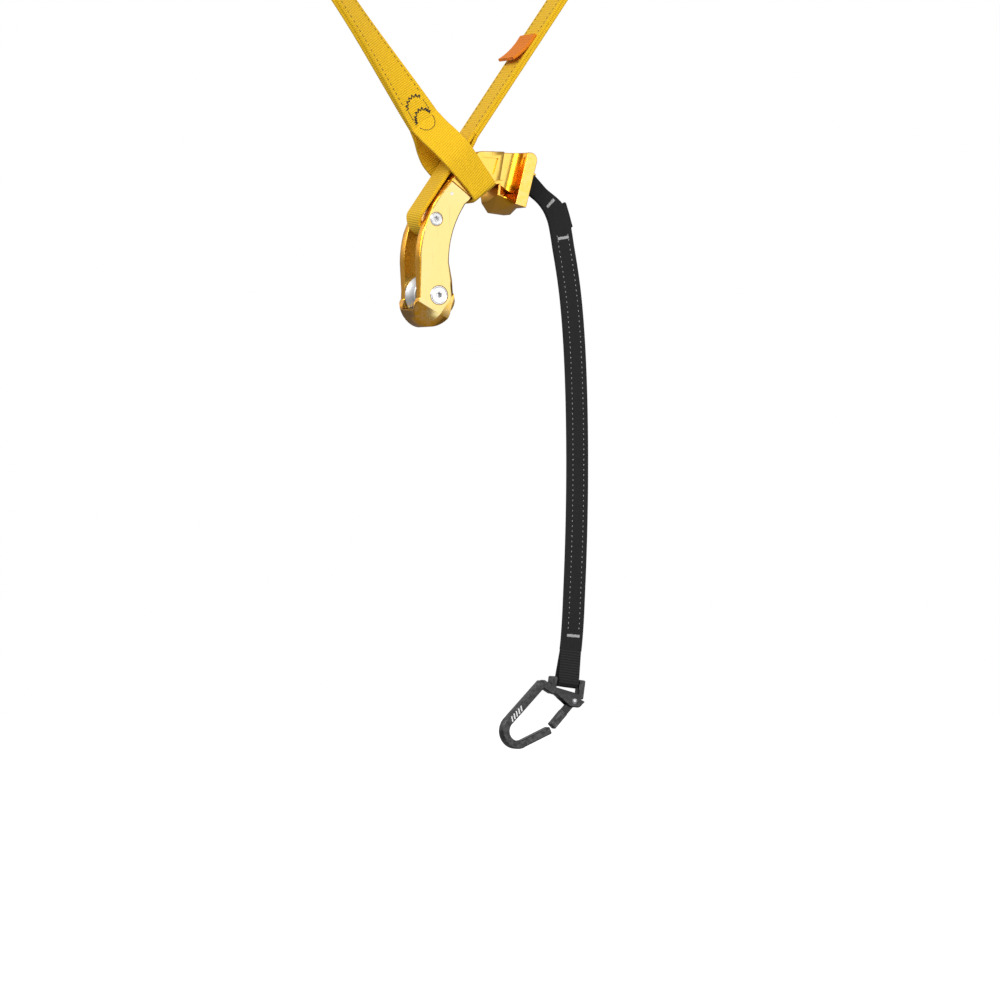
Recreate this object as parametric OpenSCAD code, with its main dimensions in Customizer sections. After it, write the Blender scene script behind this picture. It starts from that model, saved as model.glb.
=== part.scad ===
/* [Frame] */
// Full depth of the frame across both cheeks
frame_depth = 27; // [26:0.5:32]
// Thickness of each cheek
cheek_t = 6; // [5:0.25:6.5]
// Radius of the arm's outer edge
arm_outer_r = 65; // [64:1:66]
// Radius of the arm's inner edge
arm_inner_r = 60; // [59:1:61]
// Height of the top edge above the sheave axle
head_top = 87; // [86:0.5:89]
// Thickness of the head's end flange
flange_t = 7.5; // [6:0.5:9]
// Thickness of the web between the neck and the flange
web_t = 7; // [5:0.5:10]

/* [Sheave] */
// Outer radius of the rope sheave
sheave_r = 13; // [12:0.25:13.25]
// Radius at the bottom of the rope groove
groove_root_r = 9.5; // [9:0.25:10]
// Width of the sheave
sheave_w = 13.4; // [12:0.2:14]
// Diameter of the axle bolt's shank
axle_d = 6; // [5:0.5:6.5]
// Diameter of the axle bolt's head
axle_head_d = 11.8; // [10:0.2:12]

/* [Strap bolt] */
// Diameter of the upper bolt's shank
strap_bolt_d = 5; // [4:0.5:6]
// Diameter of the upper bolt's head
strap_head_d = 8.5; // [8:0.25:10]
// Diameter of the bush that the sling's eye turns on
bush_d = 14; // [12:0.5:14.5]

/* [Sling] */
// Width of the sling's webbing
sling_w = 21; // [18:0.5:22]
// Thickness of one layer of the sling's webbing
sling_layer = 2.1; // [1.8:0.1:2.3]
// Radius of the limb that the sling hangs over
limb_r = 90; // [80:1:95]

/* [Retrieval strap] */
// Width of the retrieval strap's webbing
strap_w = 14; // [12:0.5:15]
// Thickness of one layer of the retrieval strap
strap_layer = 1.5; // [1.2:0.1:1.6]

/* [Carabiner] */
// Thickness of the small carabiner
clip_t = 6; // [5:0.5:7]
// Diameter of the gate's rivet
gate_rivet_d = 3; // [2.5:0.25:3.5]

/* [Hidden] */
$fn = 64;

half_depth = frame_depth / 2;
gap = frame_depth - 2 * cheek_t;
half_gap = gap / 2;

// The device is drawn about its sheave axle, then hung under the limb's top point.
limb_centre = [13, 236];
hang_shift = [-limb_centre[0], 0, -(limb_centre[1] + limb_r)];

// Arm outline: centres and end angles of its two long arcs
arm_outer_c = [51.7, 20];
arm_inner_c = [67, 20];
arm_outer_end = 140;
arm_inner_end = 141.4;
crown_r = 16;
underside_r = 33.5;
foot_c = [-0.8, -2];
foot_r = 11.4;
nose_c = [-3.2, -7.8];
nose_r = 11;
nose_edge_mid = [-2.3, -9.5];
nose_slant = 28;
nose_facet_h = 16;
nose_facet_in = 11;
well_clear = 1.2;

// The front cheek's upper end, and the tongue that it lies on
seam_low = [17.5, 62.1];
seam_high = [9.6, 67.9];
tongue_t = 2.5;
tongue_len = 10;
dowel_at = [8.6, 60.9];
dowel_d = 3.4;

// Where the slot between the cheeks ends, as a line across the arm
slot_end_low = [17, 52];
slot_end_high = [27.5, 90];

// Head
neck_end_top = [44, 87];
neck_end_low = [40, 66];
web_flare_r = 7;
web_from = -19;
pocket_depth = 1.1;
pocket = [[29, 83.4], [39.8, 82.9], [36.8, 73.4], [31, 72.4]];
flange_foot = [55, 54.5];
flange_lean = 15;
flange_len = 40;
flange_corner_r = 4.5;
lip_back = [[42, 68], [41.2, 61], [41.8, 57], [46, 51.2], [57.5, 50], [62, 54], [58, 62],
    [48, 68]];
lip_front = [[42.5, 68], [41.2, 61], [55, 55.6], [58, 60], [50, 68]];
lip_hollow = [[44, 70], [43.6, 61.5], [53, 57.9], [55, 61], [52, 70]];
lip_back_y = 6;
lip_front_y = -9;
lip_hollow_y = 5;

// Bolts
axle_at = [0, 0];
strap_bolt_at = [-1.75, 45.5];
head_t = 3;
nut_t = 4;
bolt_clear = 0.05;

// Bearings: two, side by side
bearing_od = 14;
bearing_w = 5;
bearing_y = 2.6;
inner_ring_od = 8.4;
outer_ring_id = 11.6;
ball_d = 1.9;
ball_count = 9;
shield_t = 0.4;

// Sling geometry
sling_t = 2 * sling_layer;
sling_turn = 40;
sling_gap = 0.1;
sling_eye_w = 14;
layer_off = sling_layer / 2 + sling_gap;
leg_dir = [0.6, -0.8];
leg_side = [0.8, 0.6];
limb_line_r = limb_r + sling_t / 2;
bush_line_r = bush_d / 2 + 0.3 + sling_layer / 2;
leg_offset = limb_centre * leg_side - limb_line_r;
left_tangent_d = limb_centre * leg_dir;
neck_join_d = -86;
bush_to_limb = limb_centre - strap_bolt_at;
right_tilt = atan2(bush_to_limb[0], bush_to_limb[1])
    + asin((bush_line_r - layer_off + limb_line_r) / norm(bush_to_limb));
right_dir = [sin(right_tilt), cos(right_tilt)];
right_normal = [cos(right_tilt), -sin(right_tilt)];
right_start = strap_bolt_at - right_normal * (bush_line_r - layer_off);
right_len = norm(bush_to_limb) * cos(asin((bush_line_r - layer_off + limb_line_r)
    / norm(bush_to_limb)));
bush_join_len = 58;

// Depth stations of the neck eye's front half: distance along the leg, then depth
neck_eye_side = half_depth + 0.4 + sling_layer / 2;
neck_eye_half = [
    [neck_join_d, layer_off], [-78, 5], [-70, 10.5], [-62, 14.2], [-56, neck_eye_side],
    [-48, neck_eye_side], [-40, neck_eye_side], [-34.2, neck_eye_side], [-32.7, 14.6],
    [-31.7, 13.4], [-31.3, 11], [-31.1, 5]
];

// Retrieval strap: plane, lug bar and route
strap_y = 10;
lug_bar = [70.4, 71.4];
lug_bar_d = 5;
lug_root = 11;
lug_below = 2.5;
lug_wall_low = 2.6;
lug_wall_high = 1.3;
lug_window = 10.8;
lug_pad = 2.1;
lug_reach = lug_bar_d / 2 + lug_pad;
exit_drop = 40;
strap_exit = [cos(exit_drop), -sin(exit_drop)];
strap_eye_w = 10;
strap_t = 2 * strap_layer;
strap_off = strap_layer / 2 + 0.05;
top_join = 13;
clip_bar = [98.4, -233];
clip_bar_d = 4;
clip_tilt = 8;
clip_half_w = 9.6;
clip_left_drop = 6.5;
clip_slot_rise = 1.3;
clip_slot_rod = 4;
clip_cross_rod = 4.4;
clip_right_drop = 9;
strap_route = [
    [80.4, 63], [84, 60], [87.2, 57], [90, 53.6], [92.2, 49.5], [93.6, 44.5], [94.8, 38.5],
    [96, 31.5], [97.8, 22], [99.8, 10], [101.6, -4], [103.2, -22], [104.4, -42], [105.2, -64],
    [105.6, -88], [105.6, -112], [105.2, -136], [104.5, -158], [103.6, -178], [102.8, -194],
    [101.8, -207], [101, -214.2]
];

// Carabiner outline stations, in the plane of the hook
clip_spine_top = [81, -234];
clip_spine_low = [58.2, -256.5];
clip_bend_c = [64.2, -262.5];
clip_bend_r = 8.5;
clip_nose = [85.6, -262.6];
clip_rod = 5;
gate_pivot = [102.4, -245.1];
spring_wire = 0.8;

function arc(c, r, from, to, n) =
    [for (i = [0 : n]) c + r * [cos(from + (to - from) * i / n), sin(from + (to - from) * i / n)]];

function arm_outer_edge() =
    let (e = arm_outer_c + arm_outer_r * [cos(arm_outer_end), sin(arm_outer_end)],
         crown_z = head_top - crown_r,
         s = (crown_z + crown_r * sin(arm_outer_end) - e[1]) / sin(50),
         crown_x = e[0] + s * cos(50) - crown_r * cos(arm_outer_end))
    concat(arc(arm_outer_c, arm_outer_r, 180, arm_outer_end, 10),
           arc([crown_x, crown_z], crown_r, arm_outer_end, 90, 8));

function arm_inner_edge() =
    let (e = arm_inner_c + arm_inner_r * [cos(arm_inner_end), sin(arm_inner_end)],
         c = e + underside_r * [-cos(arm_inner_end), -sin(arm_inner_end)])
    concat(arc(c, underside_r, 90, arm_inner_end, 8),
           arc(arm_inner_c, arm_inner_r, arm_inner_end, 180, 10));

function arm_outline() =
    concat(arc(foot_c, foot_r, 352, 184, 14), arm_outer_edge(),
           [neck_end_top, neck_end_low + [0.9, 4]], arm_inner_edge(), [[8.9, 9]]);

// Flat strap swept along points, with a width direction and a width for each
CROSS = [[1, 0.4], [0.9, 1], [-0.9, 1], [-1, 0.4], [-1, -0.4], [-0.9, -1], [0.9, -1], [1, -0.4]];
function unit(v) = v / norm(v);
function tangent(p, i) =
    unit(i == 0 ? p[1] - p[0]
        : i == len(p) - 1 ? p[i] - p[i - 1]
        : unit(p[i + 1] - p[i]) + unit(p[i] - p[i - 1]));

module strap_sweep(points, sides, widths, thickness) {
    n = len(CROSS);
    rings = [for (i = [0 : len(points) - 1])
        let (t = tangent(points, i), w = unit(sides[i] - t * (sides[i] * t)), f = cross(t, w))
        for (c = CROSS) points[i] + w * (c[0] * widths[i] / 2) + f * (c[1] * thickness / 2)];
    last = (len(points) - 1) * n;
    walls = [for (i = [0 : len(points) - 2]) for (j = [0 : n - 1])
        [i * n + j, (i + 1) * n + j, (i + 1) * n + (j + 1) % n, i * n + (j + 1) % n]];
    first_cap = [for (j = [0 : n - 1]) j];
    last_cap = [for (j = [n - 1 : -1 : 0]) last + j];
    polyhedron(rings, concat([first_cap], walls, [last_cap]), convexity = 6);
}

// Route of an eye about a round pin, in the plane across the pin
function eye_route(start, finish, r, n) =
    let (a = atan2(start[1], start[0]) + acos(r / norm(start)),
         b = atan2(finish[1], finish[0]) - acos(r / norm(finish)) + 360)
    concat([start, (start * 2 + r * [cos(a), sin(a)]) / 3], arc([0, 0], r, a, b, n),
           [(finish * 2 + r * [cos(b), sin(b)]) / 3, finish]);

function in_plane(at, along, side, uv) = at + along * uv[0] + side * uv[1];
function at_y(xz, y) = [xz[0], y, xz[1]];

module hang() {
    translate(hang_shift) children();
}

// A solid with an outline in the vertical plane, between two depths
module plate(outline, y0, y1) {
    translate([0, y1, 0]) rotate([90, 0, 0]) linear_extrude(y1 - y0) polygon(outline);
}

// A round bar across the frame, between two depths
module across(at, d, y0, y1) {
    translate([at[0], y1, at[1]]) rotate([90, 0, 0]) cylinder(d = d, h = y1 - y0);
}

// A hexagonal recess in a bolt head
module hex_recess(at, y0, y1) {
    translate([at[0], y1, at[1]]) rotate([90, 0, 0]) cylinder(d = 3.4, h = y1 - y0, $fn = 6);
}

// Everything on the lower side of the front cheek's upper end
module below_seam(drop) {
    d = unit(seam_high - seam_low);
    down = [d[1], -d[0]] * (d[0] < 0 ? -1 : 1);
    a = seam_low - d * 30 + down * drop;
    b = seam_high + d * 30 + down * drop;
    plate([a, b, b + down * 120, a + down * 120], -half_depth - 1, half_depth + 1);
}

module slot_space() {
    plate([[-60, -40], [40, -40], [40, 40], slot_end_low, slot_end_high, [-60, 100]],
        -half_gap, half_gap);
}

// The arm and nose between two depths, with both sides of the nose tapered to its tip
module arm_solid(y0, y1) {
    intersection() {
        union() {
            plate(arm_outline(), y0, y1);
            plate(arc(nose_c, nose_r, 0, 360, 40), y0, y1);
        }
        difference() {
            translate([-60, -half_depth, -30]) cube([140, frame_depth, 130]);
            for (side = [-1, 1])
                nose_facet(side);
        }
    }
}

// The slanted facet that thins the nose on one side
module nose_facet(side) {
    translate([nose_edge_mid[0], side * half_depth, nose_edge_mid[1]]) rotate([0, nose_slant, 0])
        rotate([90, 0, 90]) translate([0, 0, -40]) linear_extrude(80)
            polygon([[0, 0], [side * 6, 0], [side * 6, -nose_facet_h],
                [-side * nose_facet_in, -nose_facet_h]]);
}

// The slot between the cheeks, which leaves the nose solid under the sheave's well
module cheek_slot() {
    difference() {
        slot_space();
        difference() {
            plate(arc(nose_c, nose_r + 1, 0, 360, 40), -half_gap - 1, half_gap + 1);
            across(axle_at, 2 * (sheave_r + well_clear), -half_gap - 2, half_gap + 2);
            plate([[-60, -8], [-60, 60], [60, 60], [60, -8]], -half_gap - 2, half_gap + 2);
        }
    }
}

module head_flange() {
    lean = [sin(flange_lean), cos(flange_lean)];
    side = [cos(flange_lean), -sin(flange_lean)] * flange_t / 2;
    foot = flange_foot;
    tip = foot + lean * flange_len;
    corner_z = head_top - flange_corner_r;
    corner = [foot[0] + (corner_z - foot[1]) * tan(flange_lean)
        + (flange_t / 2 - flange_corner_r) / cos(flange_lean), corner_z];
    intersection() {
        plate([foot - side, tip - side, tip + side, foot + side], -half_depth, half_depth);
        plate(concat([[40, 40], [40, head_top]], arc(corner, flange_corner_r, 90, -flange_lean, 8),
            [[70, corner[1] - flange_corner_r], [70, 40]]), -half_depth, half_depth);
    }
}

// The web with its concave flares, drawn across the flange's lean
module head_web() {
    half = web_t / 2;
    flare_x = -flange_t / 2 - web_flare_r;
    flare = [for (i = [0 : 8]) [flare_x + web_flare_r * sin(i * 11.25),
        half + web_flare_r * (1 - cos(i * 11.25))]];
    near = [[web_from, half], [flare_x, half]];
    edge = concat(near, flare, [[flare_x + web_flare_r, half + web_flare_r], [0, half_depth - 1]]);
    mirrored = [for (i = [len(edge) - 1 : -1 : 0]) [edge[i][0], -edge[i][1]]];
    intersection() {
        translate(at_y(flange_foot, 0)) rotate([0, flange_lean, 0]) linear_extrude(50)
            polygon(concat(edge, mirrored));
        plate([[39, 69.5], [38, head_top], [66, head_top], [60, 60], [52, 62.5], [47, 66.5]],
            -half_depth, half_depth);
    }
}

// The lip under the head, slanted at the front, with a hollow below the web
module head_lip() {
    difference() {
        hull() {
            plate(lip_back, lip_back_y, half_depth);
            plate(lip_front, lip_front_y, lip_front_y + 0.5);
        }
        plate(lip_hollow, -half_depth, lip_hollow_y);
    }
}

module strap_lug() {
    translate(at_y(lug_bar, strap_y)) rotate([0, exit_drop, 0]) difference() {
        translate([-lug_root, -lug_below, -lug_window / 2 - lug_wall_low])
            cube([lug_root + lug_bar_d / 2, half_depth - strap_y + lug_below,
                lug_window + lug_wall_low + lug_wall_high]);
        translate([-lug_reach, -9, -lug_window / 2]) cube([20, 18, lug_window]);
    }
}

// A round space or rod along the lug's bar.
module along_lug_bar(radius, length) {
    translate(at_y(lug_bar, strap_y)) rotate([0, exit_drop, 0])
        cylinder(r = radius, h = length, center = true);
}

// The tongue of the frame that the front cheek's upper end lies on
module tongue_space(grow) {
    difference() {
        intersection() {
            below_seam(-grow);
            plate([[-60, 20], [60, 20], [60, 95], [-60, 95]], -half_gap - tongue_t, -half_gap + grow);
        }
        below_seam(tongue_len);
    }
}

module frame_body() {
    color("goldenrod") hang() union() {
        difference() {
            union() {
                difference() {
                    arm_solid(-half_depth, half_depth);
                    cheek_slot();
                    difference() {
                        below_seam(0);
                        plate([[-60, -60], [60, -60], [60, 95], [-60, 95]], -half_gap,
                            half_depth + 2);
                        tongue_space(0);
                    }
                }
                head_web();
                head_flange();
                head_lip();
                strap_lug();
            }
            plate(pocket, -half_depth - 1, -half_depth + pocket_depth);
            along_lug_bar(lug_reach, lug_window);
            across(dowel_at, dowel_d, -half_depth - 1, -half_gap + 1);
            across(axle_at, axle_d + 2 * bolt_clear, 0, half_depth + 1);
            across(axle_at, axle_head_d, half_depth - nut_t, half_depth + 1);
            across(strap_bolt_at, strap_bolt_d + 2 * bolt_clear, 0, half_depth + 1);
            across(strap_bolt_at, strap_head_d + 1, half_depth - nut_t, half_depth + 1);
        }
        along_lug_bar(lug_bar_d / 2, lug_window + 1);
    }
}

module front_cheek() {
    color("gold") hang() difference() {
        intersection() {
            arm_solid(-half_depth, -half_gap);
            below_seam(0);
        }
        tongue_space(1);
        across(dowel_at, dowel_d, -half_depth - 1, 0);
        across(axle_at, axle_d + 2 * bolt_clear, -half_depth - 1, 0);
        across(axle_at, axle_head_d, -half_depth - 1, -half_depth + head_t);
        across(strap_bolt_at, strap_bolt_d + 2 * bolt_clear, -half_depth - 1, 0);
        across(strap_bolt_at, strap_head_d, -half_depth - 1, -half_depth + head_t);
    }
}

module cheek_dowel() {
    color("silver") hang() across(dowel_at, dowel_d, -half_depth, -half_gap);
}

module sheave() {
    half_w = sheave_w / 2;
    rim = 1.2;
    profile = concat([[bearing_od / 2, -half_w], [sheave_r, -half_w], [sheave_r, -half_w + rim]],
        [for (i = [1 : 9]) let (s = i / 10, y = (-1 + 2 * s) * (half_w - rim))
            [sheave_r - (sheave_r - groove_root_r) * sin(180 * s), y]],
        [[sheave_r, half_w - rim], [sheave_r, half_w], [bearing_od / 2, half_w]]);
    color("lightgray") hang() rotate([90, 0, 0]) rotate_extrude($fn = 96) polygon(profile);
}

module ring_pair(inner_d, outer_d, width) {
    for (side = [-1, 1])
        difference() {
            across([0, 0], outer_d, side * bearing_y - width / 2, side * bearing_y + width / 2);
            across([0, 0], inner_d, side * bearing_y - width, side * bearing_y + width);
        }
}

module ball_track(ring_r) {
    for (side = [-1, 1])
        translate([0, side * bearing_y, 0]) rotate([90, 0, 0]) rotate_extrude()
            translate([ring_r, 0]) circle(d = ball_d + 0.06, $fn = 24);
}

module bearing_outer_rings() {
    ball_r = (inner_ring_od + outer_ring_id) / 4;
    color("silver") hang() difference() {
        ring_pair(outer_ring_id, bearing_od, bearing_w);
        ball_track(ball_r);
    }
}

module bearing_inner_rings() {
    ball_r = (inner_ring_od + outer_ring_id) / 4;
    color("silver") hang() difference() {
        ring_pair(axle_d, inner_ring_od, bearing_w);
        ball_track(ball_r);
    }
}

module bearing_balls() {
    ball_r = (inner_ring_od + outer_ring_id) / 4;
    color("white") hang()
        for (side = [-1, 1], i = [0 : ball_count - 1])
            rotate([0, i * 360 / ball_count, 0]) translate([ball_r, side * bearing_y, 0])
                sphere(d = ball_d, $fn = 24);
}

module bearing_shields() {
    y = bearing_y + bearing_w / 2 - shield_t / 2 - 0.3;
    color("dimgray") hang() for (side = [-1, 1])
        difference() {
            across([0, 0], outer_ring_id, side * y - shield_t / 2, side * y + shield_t / 2);
            across([0, 0], inner_ring_od + 0.6, side * y - 1, side * y + 1);
        }
}

module sheave_washers() {
    inner_y = bearing_y + bearing_w / 2;
    color("silver") hang() for (side = [-1, 1])
        difference() {
            across([0, 0], inner_ring_od, min(side * inner_y, side * half_gap),
                max(side * inner_y, side * half_gap));
            across([0, 0], axle_d + 2 * bolt_clear, -half_gap - 1, half_gap + 1);
        }
}

// A countersunk-looking cap bolt: flush head in front, shank through to the nut
module cap_bolt(at, shank_d, head_d) {
    difference() {
        union() {
            across(at, head_d, -half_depth, -half_depth + head_t);
            across(at, shank_d, -half_depth + head_t, half_depth - 0.5);
        }
        hex_recess(at, -half_depth - 1, -half_depth + head_t - 1);
    }
}

module sleeve_nut(at, shank_d, outer_d) {
    difference() {
        across(at, outer_d, half_depth - nut_t, half_depth);
        across(at, shank_d, half_depth - nut_t - 1, half_depth + 1);
    }
}

module axle_bolt() {
    color("silver") hang() cap_bolt(axle_at, axle_d, axle_head_d);
}

module axle_nut() {
    color("silver") hang() sleeve_nut(axle_at, axle_d, axle_head_d);
}

module strap_bolt() {
    color("silver") hang() cap_bolt(strap_bolt_at, strap_bolt_d, strap_head_d);
}

module strap_bolt_nut() {
    color("silver") hang() sleeve_nut(strap_bolt_at, strap_bolt_d, strap_head_d + 1);
}

module strap_bush() {
    color("lightgray") hang() difference() {
        across(strap_bolt_at, bush_d, -half_gap, half_gap);
        across(strap_bolt_at, strap_bolt_d, -half_gap - 1, half_gap + 1);
    }
}

function left_leg_point(d) = leg_side * leg_offset + leg_dir * d;
function right_leg_point(s) = right_start + right_dir * s;

module sling_webbing() {
    left_ds = [for (i = [0 : 8]) neck_join_d + (left_tangent_d - neck_join_d) * i / 9];
    left_turns = [for (i = [0 : 8]) 90 - sling_turn * sin(10 * i)];
    wrap_from = 180 + atan2(leg_side[1], leg_side[0]);
    wrap_to = -right_tilt;
    wrap = [for (i = [0 : 20]) wrap_from + (wrap_to - wrap_from) * i / 20];
    wrap_turns = [for (i = [0 : 20]) (90 - sling_turn) * max(0, 1 - i / 5)];
    right_ss = [for (i = [1 : 6]) right_len + (bush_join_len - right_len) * i / 6];
    points = concat(
        [for (d = left_ds) at_y(left_leg_point(d), 0)],
        [for (a = wrap) at_y(limb_centre + limb_line_r * [cos(a), sin(a)], 0)],
        [for (s = right_ss) at_y(right_leg_point(s), 0)]);
    sides = concat(
        [for (a = left_turns) at_y(leg_side * sin(a), cos(a))],
        [for (i = [0 : 20]) at_y(-[cos(wrap[i]), sin(wrap[i])] * sin(wrap_turns[i]),
            cos(wrap_turns[i]))],
        [for (s = right_ss) [0, 1, 0]]);
    color("gold") hang() strap_sweep(points, sides, [for (p = points) sling_w], sling_t);
}

module sling_bush_eye() {
    join = right_leg_point(bush_join_len) - strap_bolt_at;
    left_end = join - right_normal * layer_off;
    right_end = join + right_normal * layer_off;
    bare = eye_route(left_end, right_end, bush_line_r, 14);
    last = len(bare) - 1;
    wide_at = bare[2] + unit(left_end - bare[2]) * 9;
    slim_at = right_end + (bare[last - 2] - right_end) * 0.17;
    route = concat([left_end, wide_at], [for (i = [2 : last - 2]) bare[i]], [slim_at, right_end]);
    full = sling_w - 1;
    widths = [for (i = [0 : last])
        i < 2 || i == last ? full : max(sling_eye_w, full - 1.5 * (i - 1))];
    points = [for (p = route) at_y(strap_bolt_at + p, 0)];
    color("gold") hang()
        strap_sweep(points, [for (p = points) [0, 1, 0]], widths, sling_layer);
}

module sling_neck_eye() {
    mirrored = [for (i = [len(neck_eye_half) - 1 : -1 : 0])
        [neck_eye_half[i][0], -neck_eye_half[i][1]]];
    route = concat(neck_eye_half, [[-31.1, 0]], mirrored);
    points = [for (p = route) at_y(left_leg_point(p[0]), -p[1])];
    side = at_y(leg_side, 0);
    color("gold") hang()
        strap_sweep(points, [for (p = points) side], [for (p = points) sling_w], sling_layer);
}

module sling_pocket_flap() {
    off = sling_t / 2 + 0.9;
    route = [[132, off], [126, off], [121, off + 0.6], [116, off + 1.8], [111, off + 3.6]];
    points = [for (p = route) at_y(right_leg_point(p[0]) - right_normal * p[1], 0)];
    color("orange") hang()
        strap_sweep(points, [for (p = points) [0, 1, 0]], [for (p = points) sling_w - 1], 1.8);
}

module sling_bartacks() {
    tack_t = 0.4;
    color("saddlebrown") hang() for (face = [-1, 1], d = [-97, -91])
        translate(at_y(left_leg_point(d), face * (sling_t + tack_t) / 2))
            rotate([0, -atan2(leg_side[1], leg_side[0]), 0])
                cube([13, tack_t, 2.4], center = true);
}

module retrieval_webbing() {
    points = [for (p = strap_route) at_y(p, strap_y)];
    sides = [for (i = [0 : len(points) - 1]) let (t = tangent(points, i)) [t[2], 0, -t[0]]];
    color("dimgray") hang()
        strap_sweep(points, sides,
            [for (i = [0 : len(points) - 1]) min(strap_w, strap_eye_w + 1.1 * i)], strap_t);
}

// An eye of strap about a bar: the bar's centre, the way out, the bar's direction, the width
module strap_eye(at, out, bar_dir, bar_d, join, width) {
    r = bar_d / 2 + 0.2 + strap_layer / 2;
    route = eye_route([join, strap_off], [join, -strap_off], r, 12);
    points = [for (p = route) in_plane(at_y(at, strap_y), out, [0, 1, 0], p)];
    strap_sweep(points, [for (p = points) bar_dir], [for (p = points) width], strap_layer);
}

module retrieval_top_eye() {
    color("dimgray") hang()
        strap_eye(lug_bar, [strap_exit[0], 0, strap_exit[1]],
            [-strap_exit[1], 0, strap_exit[0]], lug_bar_d, top_join, strap_eye_w);
}

module retrieval_lower_eye() {
    out = [sin(clip_tilt), 0, cos(clip_tilt)];
    color("dimgray") hang()
        strap_eye(clip_bar, out, [out[2], 0, -out[0]], clip_bar_d,
            norm(strap_route[len(strap_route) - 1] - clip_bar), strap_w - 0.5);
}

module retrieval_pocket() {
    color("dimgray") hang()
        translate([96.5, strap_y + strap_t / 2 + 1.25, 49]) rotate([0, 16, 0])
            cube([9, 2.5, 12], center = true);
}

module retrieval_bartacks() {
    tack_t = 0.4;
    y = strap_y - (strap_t + tack_t) / 2;
    color("gainsboro") hang() {
        translate([85.4, y, 56.2]) rotate([0, -45, 0]) cube([7, tack_t, 1.8], center = true);
        translate([95, y, 35.6]) rotate([0, -13, 0]) cube([8, tack_t, 1.8], center = true);
        translate([102, y, -205]) cube([9, tack_t, 1.8], center = true);
    }
}

// A straight stretch of the carabiner's outline
module clip_rod_2d(a, b, d) {
    translate((a + b) / 2) rotate(atan2(b[1] - a[1], b[0] - a[0]))
        square([norm(b - a) + 1.4, d], center = true);
}

module carabiner_outline() {
    tilt = [cos(clip_tilt), -sin(clip_tilt)];
    drop = [-sin(clip_tilt), -cos(clip_tilt)];
    left = clip_bar - tilt * clip_half_w;
    right = clip_bar + tilt * clip_half_w;
    cross_left = left + drop * clip_left_drop;
    cross_right = right + drop * clip_right_drop;
    bend_to = clip_bend_c + clip_bend_r * [cos(292), sin(292)];
    clip_rod_2d(left - drop * clip_slot_rise, cross_left, clip_slot_rod);
    clip_rod_2d(right - drop * clip_slot_rise, cross_right, clip_slot_rod);
    clip_rod_2d(cross_left, cross_right, clip_cross_rod);
    clip_rod_2d(cross_left, clip_spine_top, clip_rod);
    clip_rod_2d(clip_spine_top, clip_spine_low, clip_rod);
    polygon(concat(arc(clip_bend_c, clip_bend_r + clip_rod / 2, 130, 296, 16),
        arc(clip_bend_c, clip_bend_r - clip_rod / 2, 296, 130, 16)));
    clip_rod_2d(bend_to, clip_nose, clip_rod - 0.4);
    polygon([cross_left + drop, cross_right + drop + tilt, gate_pivot + [7.5, -0.5],
        gate_pivot + [3, -4], gate_pivot + [-3, -3.4], gate_pivot + [-7, 0]]);
}

module carabiner_body() {
    y0 = strap_y - clip_t / 2;
    y1 = strap_y + clip_t / 2;
    color("dimgray") hang() difference() {
        union() {
            translate([0, y1, 0]) rotate([90, 0, 0]) linear_extrude(clip_t) carabiner_outline();
            translate(at_y(clip_bar, strap_y)) rotate([0, 90 + clip_tilt, 0])
                cylinder(d = clip_bar_d, h = 2 * clip_half_w - 1, center = true);
        }
        plate([gate_pivot + [-14, -5.5], gate_pivot + [-8, 3.9], gate_pivot + [-1, 4.3],
            gate_pivot + [4.5, 1.8], gate_pivot + [4.5, -8], gate_pivot + [-2, -8]],
            strap_y - 1.9, strap_y + 1.9);
        across(gate_pivot, gate_rivet_d, y0 - 1, y1 + 1);
    }
}

module carabiner_gate() {
    u = unit(clip_nose - gate_pivot);
    v = [-u[1], u[0]];
    blade = gate_pivot + u * 9;
    tip = clip_nose - u * 3.2;
    color("gray") hang() difference() {
        union() {
            across(gate_pivot, 5.6, strap_y - 1.6, strap_y + 1.6);
            plate([gate_pivot + v * 2.3, blade + v * 2.3, blade - v * 2.3, gate_pivot - v * 2.3],
                strap_y - 1.6, strap_y + 1.6);
            plate([blade + v * 2.3, tip + v * 2.3, tip - v * 2.3, blade - v * 2.3],
                strap_y - 2.3, strap_y + 2.3);
        }
        across(gate_pivot, gate_rivet_d + 0.1, strap_y - 4, strap_y + 4);
    }
}

module gate_rivet() {
    color("silver") hang()
        across(gate_pivot, gate_rivet_d, strap_y - clip_t / 2 - 0.4, strap_y + clip_t / 2 + 0.4);
}

module gate_spring() {
    color("silver") hang() translate(at_y(gate_pivot + [-3.8, 3.3], strap_y))
        cube([4.4, spring_wire, spring_wire], center = true);
}

frame_body();
front_cheek();
cheek_dowel();
sheave();
bearing_outer_rings();
bearing_inner_rings();
bearing_balls();
bearing_shields();
sheave_washers();
axle_bolt();
axle_nut();
strap_bolt();
strap_bolt_nut();
strap_bush();
sling_webbing();
sling_bush_eye();
sling_neck_eye();
sling_pocket_flap();
sling_bartacks();
retrieval_webbing();
retrieval_top_eye();
retrieval_pocket();
retrieval_bartacks();
retrieval_lower_eye();
carabiner_body();
carabiner_gate();
gate_rivet();
gate_spring();
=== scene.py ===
"""Looks of the rope-pulley friction saver: metal frame, sling, retrieval strap and carabiner."""

import logging
import math
from dataclasses import dataclass, field
from enum import Enum
from typing import Callable, Iterable, Sequence

import bmesh
import bpy
from mathutils import Matrix, Vector
from mathutils.bvhtree import BVHTree


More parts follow.
